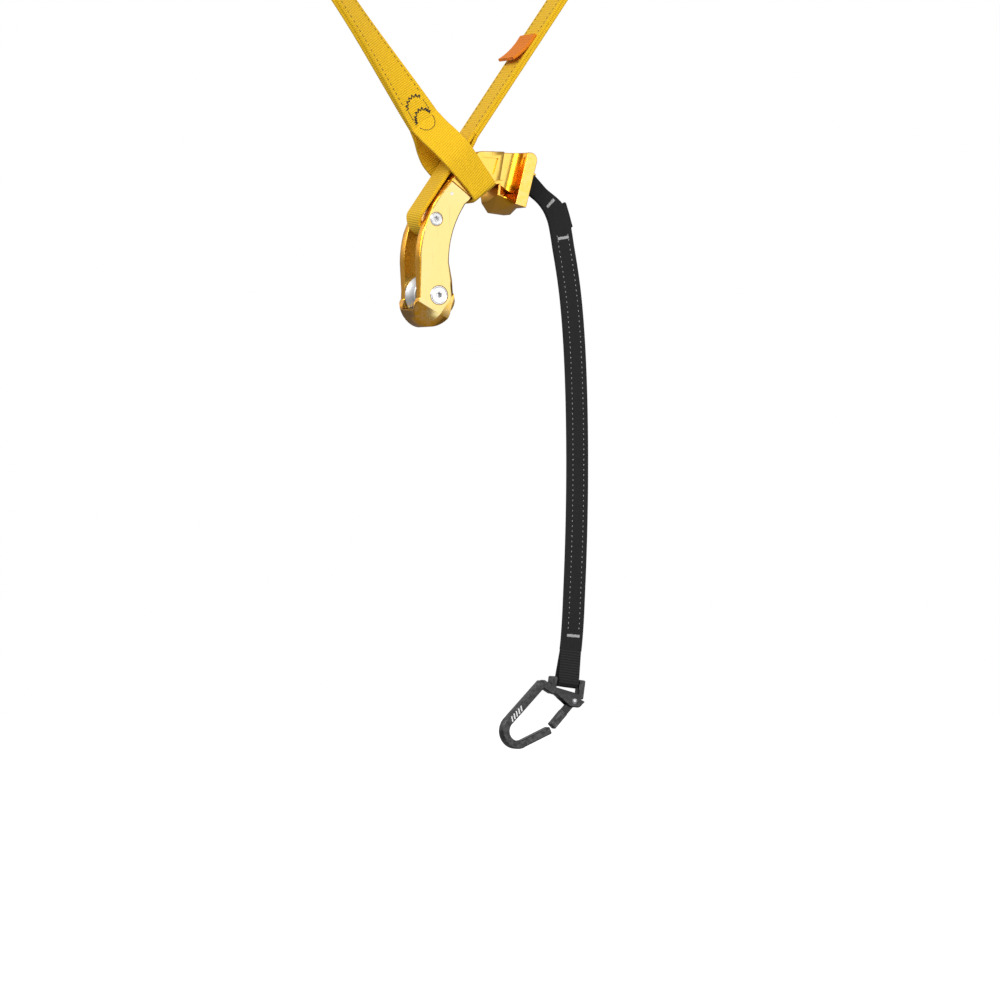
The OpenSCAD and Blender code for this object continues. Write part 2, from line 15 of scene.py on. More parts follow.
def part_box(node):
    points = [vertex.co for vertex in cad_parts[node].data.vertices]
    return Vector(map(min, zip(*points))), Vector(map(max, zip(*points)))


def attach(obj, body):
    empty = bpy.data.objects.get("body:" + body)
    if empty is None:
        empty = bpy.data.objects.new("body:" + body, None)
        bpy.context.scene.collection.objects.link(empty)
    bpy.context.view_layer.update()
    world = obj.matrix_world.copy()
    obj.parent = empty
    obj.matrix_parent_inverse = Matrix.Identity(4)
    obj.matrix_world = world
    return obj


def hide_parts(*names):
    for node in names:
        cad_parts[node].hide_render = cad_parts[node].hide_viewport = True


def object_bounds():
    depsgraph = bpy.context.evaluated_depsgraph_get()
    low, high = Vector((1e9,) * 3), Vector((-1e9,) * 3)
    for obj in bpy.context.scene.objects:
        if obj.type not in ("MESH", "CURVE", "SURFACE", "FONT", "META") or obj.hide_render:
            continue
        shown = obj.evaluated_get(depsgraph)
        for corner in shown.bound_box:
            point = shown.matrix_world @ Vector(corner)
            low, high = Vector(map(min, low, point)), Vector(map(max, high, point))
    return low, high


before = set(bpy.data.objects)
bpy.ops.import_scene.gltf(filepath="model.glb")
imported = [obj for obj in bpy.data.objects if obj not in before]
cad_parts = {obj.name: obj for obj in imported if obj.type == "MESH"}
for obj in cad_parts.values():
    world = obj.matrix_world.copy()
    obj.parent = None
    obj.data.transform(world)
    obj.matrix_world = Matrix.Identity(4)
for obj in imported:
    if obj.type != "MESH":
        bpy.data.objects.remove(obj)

CAD_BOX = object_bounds()
LOG = logging.getLogger("friction_saver")
MM = 0.001

SHEAVE_LOW, SHEAVE_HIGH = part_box("sheave")
AXLE = (SHEAVE_LOW + SHEAVE_HIGH) / 2
UP = Vector((0, 0, 1))
DEPTH = Vector((0, 1, 0))


def device(x: float, y: float, z: float) -> Vector:
    """A point in the row frame, from millimetres counted from the sheave's axle."""
    return AXLE + Vector((x, y, z)) * MM


def clamp(value: float, low: float = 0.0, high: float = 1.0) -> float:
    """The value, kept between two limits."""
    return max(low, min(high, value))


def ease(value: float) -> float:
    """A smooth step from 0 to 1."""
    t = clamp(value)
    return t * t * (3 - 2 * t)


# ---------------------------------------------------------------- shader tools


class Body(Enum):
    """The bodies that pieces ride on."""

    FRAME = "frame"
    SHEAVE = "sheave"
    STRAP = "retrieval_strap"
    CARABINER = "carabiner"
    GATE = "gate"


class Coords(Enum):
    """What a material's pattern follows."""

    OBJECT = "Object"
    UV = "UV"


class NodeDesk:
    """Adds nodes to a tree and joins them."""

    def __init__(self, tree: bpy.types.NodeTree) -> None:
        """Keeps the tree that the nodes go into."""
        self.tree = tree

    def add(self, kind: str, values: dict | None = None, **settings: object) -> bpy.types.Node:
        """Adds one node.

        Args:
            kind: the node's type name.
            values: input name or number to a value, or to an output socket to link.
            settings: properties to set on the node.

        Returns:
            The new node.
        """
        node = self.tree.nodes.new(kind)
        for name, value in settings.items():
            setattr(node, name, value)
        for name, value in (values or {}).items():
            self.put(node.inputs[name], value)
        return node

    def put(self, socket: bpy.types.NodeSocket, value: object) -> None:
        """Links an output to a socket, or sets the socket's own value."""
        if isinstance(value, bpy.types.NodeSocket):
            self.tree.links.new(value, socket)
        else:
            socket.default_value = value

    def math(self, operation: str, a: object, b: object = 0.0) -> bpy.types.NodeSocket:
        """The output of a maths node."""
        node = self.add("ShaderNodeMath", {0: a, 1: b}, operation=operation)
        return node.outputs[0]

    def mix(self, factor: object, a: object, b: object) -> bpy.types.NodeSocket:
        """A colour between two colours."""
        node = self.add("ShaderNodeMix", data_type="RGBA")
        for index, value in ((0, factor), (6, a), (7, b)):
            self.put(node.inputs[index], value)
        return node.outputs[2]

    def ramp(self, factor: object, low: float, high: float) -> bpy.types.NodeSocket:
        """A clamped change from 0 to 1 between two values of the factor."""
        node = self.add("ShaderNodeMapRange", {"Value": factor, "From Min": low, "From Max": high})
        return node.outputs["Result"]


def group(name: str, inputs: dict[str, float], outputs: Sequence[str],
          fill: Callable[[NodeDesk, dict, dict], None]) -> bpy.types.NodeTree:
    """Makes a shader node group once.

    Args:
        name: the group's name.
        inputs: float input names and their defaults, besides Vector.
        outputs: float output names.
        fill: builds the inside from a desk, the input sockets and the output sockets.

    Returns:
        The group, new or already there.
    """
    if name in bpy.data.node_groups:
        return bpy.data.node_groups[name]
    tree = bpy.data.node_groups.new(name, "ShaderNodeTree")
    tree.interface.new_socket("Vector", in_out="INPUT", socket_type="NodeSocketVector")
    for key, value in inputs.items():
        socket = tree.interface.new_socket(key, in_out="INPUT", socket_type="NodeSocketFloat")
        socket.default_value = value
    for key in outputs:
        tree.interface.new_socket(key, in_out="OUTPUT", socket_type="NodeSocketFloat")
    desk = NodeDesk(tree)
    source = desk.add("NodeGroupInput")
    sink = desk.add("NodeGroupOutput")
    fill(desk, {s.name: s for s in source.outputs}, {s.name: s for s in sink.inputs})
    return tree


def fill_fine_grain(desk: NodeDesk, given: dict, out: dict) -> None:
    """Fine blasted grain, with slow cloudy variation."""
    fine = desk.add("ShaderNodeTexNoise", {"Vector": given["Vector"], "Scale": given["Scale"],
                                           "Detail": 3.0, "Roughness": 0.6})
    broad = desk.add("ShaderNodeTexNoise", {"Vector": given["Vector"], "Scale": 60.0,
                                            "Detail": 2.0})
    desk.put(out["Grain"], fine.outputs[0])
    desk.put(out["Cloud"], broad.outputs[0])


def fill_scratches(desk: NodeDesk, given: dict, out: dict) -> None:
    """Sparse fine scratches in two directions."""
    masks = []
    for angle in (0.4, -0.9):
        turned = desk.add("ShaderNodeMapping", {"Vector": given["Vector"],
                                                "Rotation": (0.2, angle, 0.3),
                                                "Scale": (1.0, 1.0, 0.03)})
        noise = desk.add("ShaderNodeTexNoise", {"Vector": turned.outputs[0],
                                                "Scale": given["Scale"], "Detail": 1.0})
        masks.append(desk.ramp(noise.outputs[0], 0.70, 0.74))
    desk.put(out["Mask"], desk.math("MULTIPLY", desk.math("MAXIMUM", *masks), given["Amount"]))


def fill_edge_wear(desk: NodeDesk, given: dict, out: dict) -> None:
    """Wear on convex edges, broken up by noise."""
    shape = desk.add("ShaderNodeNewGeometry")
    noise = desk.add("ShaderNodeTexNoise", {"Vector": given["Vector"], "Scale": 420.0,
                                            "Detail": 3.0})
    edge = desk.ramp(shape.outputs["Pointiness"], 0.515, 0.60)
    broken = desk.math("MULTIPLY", edge, desk.ramp(noise.outputs[0], 0.38, 0.62))
    desk.put(out["Mask"], desk.math("MULTIPLY", broken, given["Amount"]))


def fill_weave(desk: NodeDesk, given: dict, out: dict) -> None:
    """Webbing: ribs across the strap with yarn crowns along each rib, on metric UV."""
    split = desk.add("ShaderNodeSeparateXYZ", {"Vector": given["Vector"]})
    across, along = split.outputs[0], split.outputs[1]
    wobble = desk.add("ShaderNodeTexNoise", {"Vector": given["Vector"], "Scale": 260.0,
                                             "Detail": 2.0})
    shift = desk.math("MULTIPLY", desk.math("SUBTRACT", wobble.outputs[0], 0.5), 0.0005)
    skewed = desk.math("ADD", desk.math("ADD", along, shift),
                       desk.math("MULTIPLY", across, given["Skew"]))
    rib_turn = desk.math("DIVIDE", skewed, given["Rib"])
    rib = desk.math("SINE", desk.math("MULTIPLY", rib_turn, 2 * math.pi))
    rib_up = desk.math("ADD", desk.math("MULTIPLY", rib, 0.5), 0.5)
    odd = desk.math("MODULO", desk.math("FLOOR", rib_turn), 2.0)
    yarn_turn = desk.math("ADD", desk.math("DIVIDE", across, given["Yarn"]),
                          desk.math("MULTIPLY", odd, 0.5))
    yarn = desk.math("SINE", desk.math("MULTIPLY", yarn_turn, 2 * math.pi))
    yarn_up = desk.math("ADD", desk.math("MULTIPLY", yarn, 0.5), 0.5)
    height = desk.math("ADD", desk.math("MULTIPLY", rib_up, 0.72),
                       desk.math("MULTIPLY", yarn_up, 0.28))
    desk.put(out["Height"], height)
    desk.put(out["Groove"], desk.math("SUBTRACT", 1.0, rib_up))
    desk.put(out["Fluff"], wobble.outputs[0])


@dataclass(frozen=True)
class Finish:
    """What every finish has: a name and a base colour."""

    name: str
    color: tuple[float, float, float]
    roughness: float = 0.4

    coords = Coords.OBJECT

    def build(self) -> bpy.types.Material:
        """Makes the material, or returns it if it is there."""
        found = bpy.data.materials.get(self.name)
        if found:
            return found
        material = bpy.data.materials.new(self.name)
        material.use_nodes = True
        tree = material.node_tree
        tree.nodes.clear()
        desk = NodeDesk(tree)
        shader = desk.add("ShaderNodeBsdfPrincipled")
        output = desk.add("ShaderNodeOutputMaterial")
        desk.put(output.inputs["Surface"], shader.outputs[0])
        place = desk.add("ShaderNodeTexCoord").outputs[self.coords.value]
        self.dress(desk, shader, place)
        return material

    def rgba(self, gain: float = 1.0) -> tuple[float, float, float, float]:
        """The base colour, brightened or darkened."""
        return (*(clamp(c * gain) for c in self.color), 1.0)

    def use(self, desk: NodeDesk, name: str, place: object, inputs: dict[str, float],
            outputs: Sequence[str], fill: Callable) -> bpy.types.Node:
        """Places a shared group in the material with this finish's own values."""
        tree = group(name, inputs, outputs, fill)
        node = desk.add("ShaderNodeGroup", node_tree=tree)
        desk.put(node.inputs["Vector"], place)
        for key, value in inputs.items():
            node.inputs[key].default_value = value
        return node

    def dress(self, desk: NodeDesk, shader: bpy.types.Node, place: object) -> None:
        """Sets the shader up. Each finish has its own."""
        raise NotImplementedError

    def bump(self, desk: NodeDesk, shader: bpy.types.Node, height: object, distance: float,
             strength: float = 1.0) -> None:
        """Joins a height to the shader's normal."""
        node = desk.add("ShaderNodeBump", {"Height": height, "Distance": distance,
                                           "Strength": strength})
        desk.put(shader.inputs["Normal"], node.outputs[0])


@dataclass(frozen=True)
class Anodised(Finish):
    """Dyed anodised aluminium, bead blasted."""

    # Painted highlight: faces that point along Y take this paler colour, standing for the bright
    # reflection they show.
    face: tuple[float, float, float] = (0.70, 0.57, 0.22)
    wear: float = 0.25
    grain: float = 0.00002

    def dress(self, desk: NodeDesk, shader: bpy.types.Node, place: object) -> None:
        """Metal with fine grain, cloudy tone, scratches, pale worn edges and a painted highlight on
        faces that point along Y.
        """
        grain = self.use(desk, "FineGrain", place, {"Scale": 2600.0}, ("Grain", "Cloud"),
                         fill_fine_grain)
        scratch = self.use(desk, "Scratches", place, {"Scale": 700.0, "Amount": 0.5}, ("Mask",),
                           fill_scratches)
        worn = self.use(desk, "EdgeWear", place, {"Amount": self.wear}, ("Mask",), fill_edge_wear)
        # Painted highlight: faces that point along Y are mixed towards the paler face colour, for
        # their bright reflection.
        shape = desk.add("ShaderNodeNewGeometry")
        turn = desk.add("ShaderNodeSeparateXYZ", {"Vector": shape.outputs["Normal"]})
        flat = desk.ramp(desk.math("ABSOLUTE", turn.outputs[1]), 0.90, 0.985)
        metal = desk.mix(flat, (*self.color, 1.0), (*self.face, 1.0))
        dark = desk.mix(0.06, metal, (0.1, 0.05, 0.0, 1.0))
        tone = desk.mix(grain.outputs["Cloud"], dark, metal)
        pale = tuple(c * 0.45 + 0.5 for c in self.color) + (1.0,)
        desk.put(shader.inputs["Base Color"], desk.mix(worn.outputs["Mask"], tone, pale))
        rough = desk.add("ShaderNodeMapRange", {"Value": grain.outputs["Cloud"],
                                                "To Min": self.roughness - 0.02,
                                                "To Max": self.roughness + 0.02})
        rubbed = desk.math("ADD", rough.outputs["Result"],
                           desk.math("MULTIPLY", scratch.outputs["Mask"], 0.15))
        desk.put(shader.inputs["Roughness"], rubbed)
        shader.inputs["Metallic"].default_value = 1.0
        self.bump(desk, shader, grain.outputs["Grain"], self.grain, 0.5)


@dataclass(frozen=True)
class TurnedMetal(Finish):
    """Bright metal from the lathe, with rings about an axle along Y."""

    centre: tuple[float, float, float] = (0.0, 0.0, 0.0)
    ring_pitch: float = 0.00025

    def dress(self, desk: NodeDesk, shader: bpy.types.Node, place: object) -> None:
        """Metal with fine turning rings and small tone changes."""
        centred = desk.add("ShaderNodeVectorMath", {0: place, 1: self.centre},
                           operation="SUBTRACT")
        split = desk.add("ShaderNodeSeparateXYZ", {"Vector": centred.outputs[0]})
        flat = desk.add("ShaderNodeCombineXYZ", {"X": split.outputs[0], "Z": split.outputs[2]})
        radius = desk.add("ShaderNodeVectorMath", {0: flat.outputs[0]}, operation="LENGTH")
        turns = desk.math("ADD", radius.outputs["Value"], split.outputs[1])
        ring = desk.math("SINE", desk.math("MULTIPLY", turns, 2 * math.pi / self.ring_pitch))
        grain = self.use(desk, "FineGrain", place, {"Scale": 1800.0}, ("Grain", "Cloud"),
                         fill_fine_grain)
        scratch = self.use(desk, "Scratches", place, {"Scale": 900.0, "Amount": 0.6}, ("Mask",),
                           fill_scratches)
        tone = desk.mix(grain.outputs["Cloud"], self.rgba(0.88), self.rgba(1.06))
        desk.put(shader.inputs["Base Color"], tone)
        rough = desk.math("ADD", desk.math("MULTIPLY", scratch.outputs["Mask"], 0.2),
                          desk.math("ADD", desk.math("MULTIPLY", ring, 0.03), self.roughness))
        desk.put(shader.inputs["Roughness"], rough)
        shader.inputs["Metallic"].default_value = 1.0
        self.bump(desk, shader, ring, 0.000004, 0.6)


@dataclass(frozen=True)
class Webbing(Finish):
    """Woven webbing with ribs across it, on metric UV."""

    rib: float = 0.0013
    yarn: float = 0.0011
    skew: float = 0.0
    depth: float = 0.00022
    # Brightness of the painted shade in the weave's grooves.
    shade: float = 0.72
    sheen: float = 0.35

    coords = Coords.UV

    def dress(self, desk: NodeDesk, shader: bpy.types.Node, place: object) -> None:
        """Cloth with ribs, painted shade in the grooves and a little tone variation."""
        weave = self.use(desk, "Weave", place,
                         {"Rib": self.rib, "Yarn": self.yarn, "Skew": self.skew},
                         ("Height", "Groove", "Fluff"), fill_weave)
        tone = desk.mix(weave.outputs["Fluff"], self.rgba(0.92), self.rgba(1.08))
        # Painted shade: the weave's grooves are darkened towards the shade brightness.
        shaded_grooves = desk.mix(desk.ramp(weave.outputs["Groove"], 0.35, 1.0), tone,
                        self.rgba(self.shade))
        desk.put(shader.inputs["Base Color"], shaded_grooves)
        rough = desk.add("ShaderNodeMapRange", {"Value": weave.outputs["Fluff"],
                                                "To Min": self.roughness - 0.06,
                                                "To Max": self.roughness + 0.08})
        desk.put(shader.inputs["Roughness"], rough.outputs["Result"])
        shader.inputs["Sheen Weight"].default_value = self.sheen
        shader.inputs["Sheen Roughness"].default_value = 0.45
        shader.inputs["Specular IOR Level"].default_value = 0.12
        self.bump(desk, shader, weave.outputs["Height"], self.depth, 0.9)


@dataclass(frozen=True)
class Thread(Finish):
    """Twisted sewing thread."""

    def dress(self, desk: NodeDesk, shader: bpy.types.Node, place: object) -> None:
        """Cloth fibre with a fine twist."""
        twist = desk.add("ShaderNodeTexWave", {"Vector": place, "Scale": 1400.0,
                                               "Distortion": 2.0}, bands_direction="DIAGONAL")
        desk.put(shader.inputs["Base Color"],
                 desk.mix(twist.outputs[1], self.rgba(0.7), self.rgba(1.15)))
        shader.inputs["Roughness"].default_value = self.roughness
        self.bump(desk, shader, twist.outputs[1], 0.00003, 0.6)


@dataclass(frozen=True)
class Painted(Finish):
    """Satin coating, such as black anodising or a printed stripe."""

    metallic: float = 0.0
    wear: float = 0.0

    def dress(self, desk: NodeDesk, shader: bpy.types.Node, place: object) -> None:
        """A satin coat with fine grain and worn edges."""
        grain = self.use(desk, "FineGrain", place, {"Scale": 2200.0}, ("Grain", "Cloud"),
                         fill_fine_grain)
        worn = self.use(desk, "EdgeWear", place, {"Amount": self.wear}, ("Mask",), fill_edge_wear)
        tone = desk.mix(grain.outputs["Cloud"], self.rgba(0.85), self.rgba(1.15))
        desk.put(shader.inputs["Base Color"],
                 desk.mix(worn.outputs["Mask"], tone, (0.42, 0.42, 0.43, 1.0)))
        rough = desk.add("ShaderNodeMapRange", {"Value": grain.outputs["Cloud"],
                                                "To Min": self.roughness - 0.05,
                                                "To Max": self.roughness + 0.06})
        desk.put(shader.inputs["Roughness"], rough.outputs["Result"])
        shader.inputs["Metallic"].default_value = self.metallic
        self.bump(desk, shader, grain.outputs["Grain"], 0.00002, 0.4)


@dataclass(frozen=True)
class Backdrop(Finish):
    """A floor that looks as bright as the surrounding, and hardly lights the object."""

    glow: float = 1.0

    def dress(self, desk: NodeDesk, shader: bpy.types.Node, place: object) -> None:
        """A matt surface that glows for the camera alone."""
        cloud = desk.add("ShaderNodeTexNoise", {"Vector": place, "Scale": 2.0})
        tone = desk.mix(cloud.outputs[0], self.rgba(0.985), self.rgba(1.0))
        seen = desk.add("ShaderNodeLightPath").outputs["Is Camera Ray"]
        shader.inputs["Base Color"].default_value = (0.3, 0.3, 0.3, 1.0)
        shader.inputs["Roughness"].default_value = self.roughness
        shader.inputs["Specular IOR Level"].default_value = 0.0
        desk.put(shader.inputs["Emission Color"], tone)
        desk.put(shader.inputs["Emission Strength"], desk.math("MULTIPLY", seen, self.glow))


BOLT_LOW, BOLT_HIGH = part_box("strap_bolt")
BOLT = (BOLT_LOW + BOLT_HIGH) / 2
PIVOT = sum(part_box("gate_rivet"), Vector()) / 2

# Both gold finishes carry a painted highlight: their face colour makes faces that point along Y
# paler, for the bright reflection they show.
GOLD = Anodised("gold_anodised", (0.90, 0.42, 0.022), 0.26, face=(0.80, 0.52, 0.10))
GOLD_FACE = Anodised("gold_anodised_face", (0.90, 0.42, 0.022), 0.27)
SHEAVE_METAL = TurnedMetal("sheave_metal", (0.80, 0.80, 0.81), 0.22, centre=tuple(AXLE))
AXLE_STEEL = TurnedMetal("axle_steel", (0.74, 0.74, 0.75), 0.2, centre=tuple(AXLE))
BOLT_STEEL = TurnedMetal("bolt_steel", (0.74, 0.74, 0.75), 0.2, centre=tuple(BOLT))
PLAIN_STEEL = TurnedMetal("plain_steel", (0.68, 0.68, 0.70), 0.28, centre=tuple(AXLE),
                          ring_pitch=0.0006)
# Each webbing darkens its weave's grooves with painted shade.
YELLOW_WEB = Webbing("yellow_webbing", (0.98, 0.57, 0.015), 0.62, skew=0.12, sheen=0.08)
ORANGE_WEB = Webbing("orange_webbing", (0.90, 0.24, 0.01), 0.62, skew=0.12, sheen=0.08)
BLACK_WEB = Webbing("black_webbing", (0.024, 0.024, 0.025), 0.7, rib=0.0007, yarn=0.0009,
                    depth=0.00008, shade=0.6, sheen=0.05)
RIBBED_BLACK = Webbing("ribbed_black_webbing", (0.026, 0.026, 0.027), 0.66, rib=0.0016,
                       depth=0.00016, shade=0.5, sheen=0.05)
DARK_THREAD = Thread("dark_thread", (0.035, 0.025, 0.02), 0.7)
GREY_THREAD = Thread("grey_thread", (0.50, 0.50, 0.50), 0.7)
YELLOW_THREAD = Thread("yellow_thread", (0.80, 0.42, 0.02), 0.7)
BLACK_METAL = Painted("black_anodised", (0.018, 0.018, 0.02), 0.33, metallic=0.35, wear=0.25)
WHITE_PRINT = Painted("white_print", (0.85, 0.85, 0.84), 0.45)


# ---------------------------------------------------------------- mesh tools


def finish_piece(name: str, bm: bmesh.types.BMesh, finish: Finish, body: Body,
                 sharp_deg: float = 35.0, recalc: bool = True) -> bpy.types.Object:
    """Turns a bmesh into a finished piece on its body.

    Args:
        name: the piece's name.
        bm: the mesh, in metres in the row frame. It is freed.
        finish: the finish to dress it in.
        body: the body that it rides on.
        sharp_deg: edges steeper than this shade sharp.
        recalc: whether the faces are made to point outwards.

    Returns:
        The new object.
    """
    if recalc:
        bmesh.ops.recalc_face_normals(bm, faces=bm.faces[:])
    mesh = bpy.data.meshes.new(name)
    bm.to_mesh(mesh)
    bm.free()
    mesh.shade_smooth()
    mesh.set_sharp_from_angle(angle=math.radians(sharp_deg))
    piece = bpy.data.objects.new(name, mesh)
    bpy.context.scene.collection.objects.link(piece)
    mesh.materials.append(finish.build())
    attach(piece, body.value)
    return piece


def dress_node(node: str, finish: Finish) -> None:
    """Puts a finish on a CAD node that stays as it is."""
    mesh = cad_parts[node].data
    mesh.materials.clear()
    mesh.materials.append(finish.build())


def plug(bm: bmesh.types.BMesh, centre: Vector, radius: float) -> None:
    """Closes a round hole along Y, where a bolt's own piece fills it.

    Args:
        bm: the mesh to change.
        centre: any point on the hole's axis.
        radius: a radius that takes in the hole's walls and steps.
    """
    def near(vert: bmesh.types.BMVert) -> bool:
        out = vert.co - centre
        return math.hypot(out.x, out.z) < radius

    walls = [f for f in bm.faces if all(near(v) for v in f.verts)]
    bmesh.ops.delete(bm, geom=walls, context="FACES")
    bmesh.ops.holes_fill(bm, edges=[e for e in bm.edges if e.is_boundary], sides=0)


@dataclass(frozen=True)
class Rounding:
    """Widths of rounded edges: of the outer faces' rims, and of the other edges."""

    rim: float
    other: float
    rim_depth: float = 1000.0
    skip: Callable[[Vector], bool] = lambda point: False
    keep: Callable[[Vector], bool] = lambda point: False


def round_edges(bm: bmesh.types.BMesh, rounding: Rounding) -> None:
    """Rounds the outward edges, and keeps the result close to the first surface.

    Args:
        bm: the mesh to change.
        rounding: the widths, and which rims to leave alone.
    """
    first = BVHTree.FromBMesh(bm)
    done: set[int] = set()
    for width, steps, rim in ((rounding.rim, 4, True), (rounding.other, 2, False)):
        if width <= 0:
            continue
        edges = []
        for edge in bm.edges:
            if not edge.is_manifold or edge.calc_face_angle_signed(0) < math.radians(24):
                continue
            middle = (edge.verts[0].co + edge.verts[1].co) / 2
            on_rim = all(abs(v.co.y - AXLE.y) > rounding.rim_depth for v in edge.verts)
            on_rim = on_rim and not rounding.skip(middle)
            if on_rim == rim and not rounding.keep(middle):
                edges.append(edge)
        bmesh.ops.bevel(bm, geom=edges, offset=width, offset_type="OFFSET", segments=steps,
                        profile=0.5, affect="EDGES", clamp_overlap=False, material=-1,
                        miter_outer="ARC", loop_slide=True)
        for vert in bm.verts:
            spot, _, _, gap = first.find_nearest(vert.co)
            if gap > width * 0.45:
                vert.co = spot
        bmesh.ops.dissolve_degenerate(bm, dist=0.00001, edges=bm.edges[:])


@dataclass(frozen=True)
class Cut:
    """A prism or round hole along Y, between two depths, cut after the edges are rounded."""

    outline: tuple[Vector, ...]
    start: float
    stop: float

    @classmethod
    def bore(cls, centre: Vector, radius: float, start: float, stop: float) -> "Cut":
        """A round hole.

        Args:
            centre: any point on the hole's axis.
            radius: its radius, in metres.
            start: its first depth from the axle, in metres.
            stop: its last depth.

        Returns:
            The hole as a cut.
        """
        bm = bmesh.new()
        made = bmesh.ops.create_circle(bm, segments=64, radius=radius)["verts"]
        outline = tuple(Vector((centre.x + v.co.x, 0, centre.z + v.co.y)) for v in made)
        bm.free()
        return cls(outline, start, stop)

    def apply(self, piece: bpy.types.Object) -> None:
        """Cuts the prism out of the piece's mesh."""
        bm = bmesh.new()
        ring = [bm.verts.new(Vector((p.x, AXLE.y + self.start, p.z))) for p in self.outline]
        face = bm.faces.new(ring)
        grown = bmesh.ops.extrude_face_region(bm, geom=[face])["geom"]
        bmesh.ops.translate(bm, vec=DEPTH * (self.stop - self.start),
                            verts=[g for g in grown if isinstance(g, bmesh.types.BMVert)])
        bmesh.ops.recalc_face_normals(bm, faces=bm.faces[:])
        mesh = bpy.data.meshes.new("cutter")
        bm.to_mesh(mesh)
        bm.free()
        cutter = bpy.data.objects.new("cutter", mesh)
        bpy.context.scene.collection.objects.link(cutter)
        cut = piece.modifiers.new("cut", "BOOLEAN")
        cut.object = cutter
        cut.operation = "DIFFERENCE"
        cut.solver = "EXACT"
        graph = bpy.context.evaluated_depsgraph_get()
        result = bpy.data.meshes.new_from_object(piece.evaluated_get(graph))
        piece.modifiers.remove(cut)
        piece.data = result
        bpy.data.objects.remove(cutter)
        bpy.data.meshes.remove(mesh)


def from_node(node: str, name: str, finish: Finish, body: Body, rounding: Rounding,
              plugs: Sequence[tuple[Vector, float]] = (),
              cuts: Sequence[Cut] = ()) -> bpy.types.Object:
    """A piece with a CAD node's own shape and rounded edges, which stands for that node.

    Args:
        node: the CAD node's name.
        name: the piece's name.
        finish: its finish.
        body: the body that it rides on.
        rounding: the widths of its rounded edges.
        plugs: centres and radii of holes to close before the rounding.
        cuts: holes to cut after it.

    Returns:
        The new object.
    """
    bm = bmesh.new()
    bm.from_mesh(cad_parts[node].data)
    bmesh.ops.remove_doubles(bm, verts=bm.verts[:], dist=0.00002)
    for centre, radius in plugs:
        plug(bm, centre, radius)
    bmesh.ops.dissolve_limit(bm, angle_limit=math.radians(1.0), verts=bm.verts[:],
                             edges=bm.edges[:])
    bmesh.ops.dissolve_degenerate(bm, dist=0.0001, edges=bm.edges[:])
    round_edges(bm, rounding)
    piece = finish_piece(name, bm, finish, body, 60.0)
    for cut in cuts:
        cut.apply(piece)
    flat = piece.modifiers.new("flat_faces", "WEIGHTED_NORMAL")
    flat.keep_sharp = True
    flat.weight = 90
    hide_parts(node)
    return piece


def lathe(profile: Sequence[tuple[float, float]], centre: Vector,
          steps: int = 72) -> bmesh.types.BMesh:
    """Spins a closed outline about an axle along Y.

    Args:
        profile: radius and depth pairs in millimetres, from the axle.
        centre: the axle's centre in the row frame.
        steps: steps in the full turn.

    Returns:
        The new mesh.
    """
    bm = bmesh.new()
    ring = [bm.verts.new(centre + Vector((r, y, 0)) * MM) for r, y in profile]
    edges = [bm.edges.new((ring[i], ring[(i + 1) % len(ring)])) for i in range(len(ring))]
    bmesh.ops.spin(bm, geom=ring + edges, cent=centre, axis=DEPTH, angle=2 * math.pi,
                   steps=steps, use_merge=True)
    bmesh.ops.remove_doubles(bm, verts=bm.verts[:], dist=0.000002)
    return bm


# ---------------------------------------------------------------- straps


@dataclass(frozen=True)
class Station:
    """A place on a strap: its point, its side and face directions, width and thickness."""

    point: Vector
    side: Vector
    face: Vector
    width: float
    thick: float

    def place(self, a: float, b: float) -> Vector:
        """The point at a fraction of the half width and half thickness."""
        return self.point + self.side * (a * self.width / 2) + self.face * (b * self.thick / 2)


class Layers(Enum):
    """How many layers a strap's outline shows at its edges."""

    ONE = 1
    TWO = 2


def strap_outline(layers: Layers, columns: int = 6) -> list[tuple[float, float]]:
    """The strap's cross-section, as fractions of its half width and half thickness."""
    across = [1 - 2 * i / columns for i in range(columns + 1)]
    crown = [(a * 0.965, 1.0 + 0.05 * (1 - a * a)) for a in across]
    if layers is Layers.ONE:
        edge = [(-0.99, 0.72), (-1.0, 0.2), (-1.0, -0.2), (-0.99, -0.72)]
    else:
        edge = [(-0.99, 0.86), (-1.0, 0.5), (-0.985, 0.14), (-0.955, 0.0), (-0.985, -0.14),
                (-1.0, -0.5), (-0.99, -0.86)]
    half = crown + edge
    return half + [(-a, -b) for a, b in half]


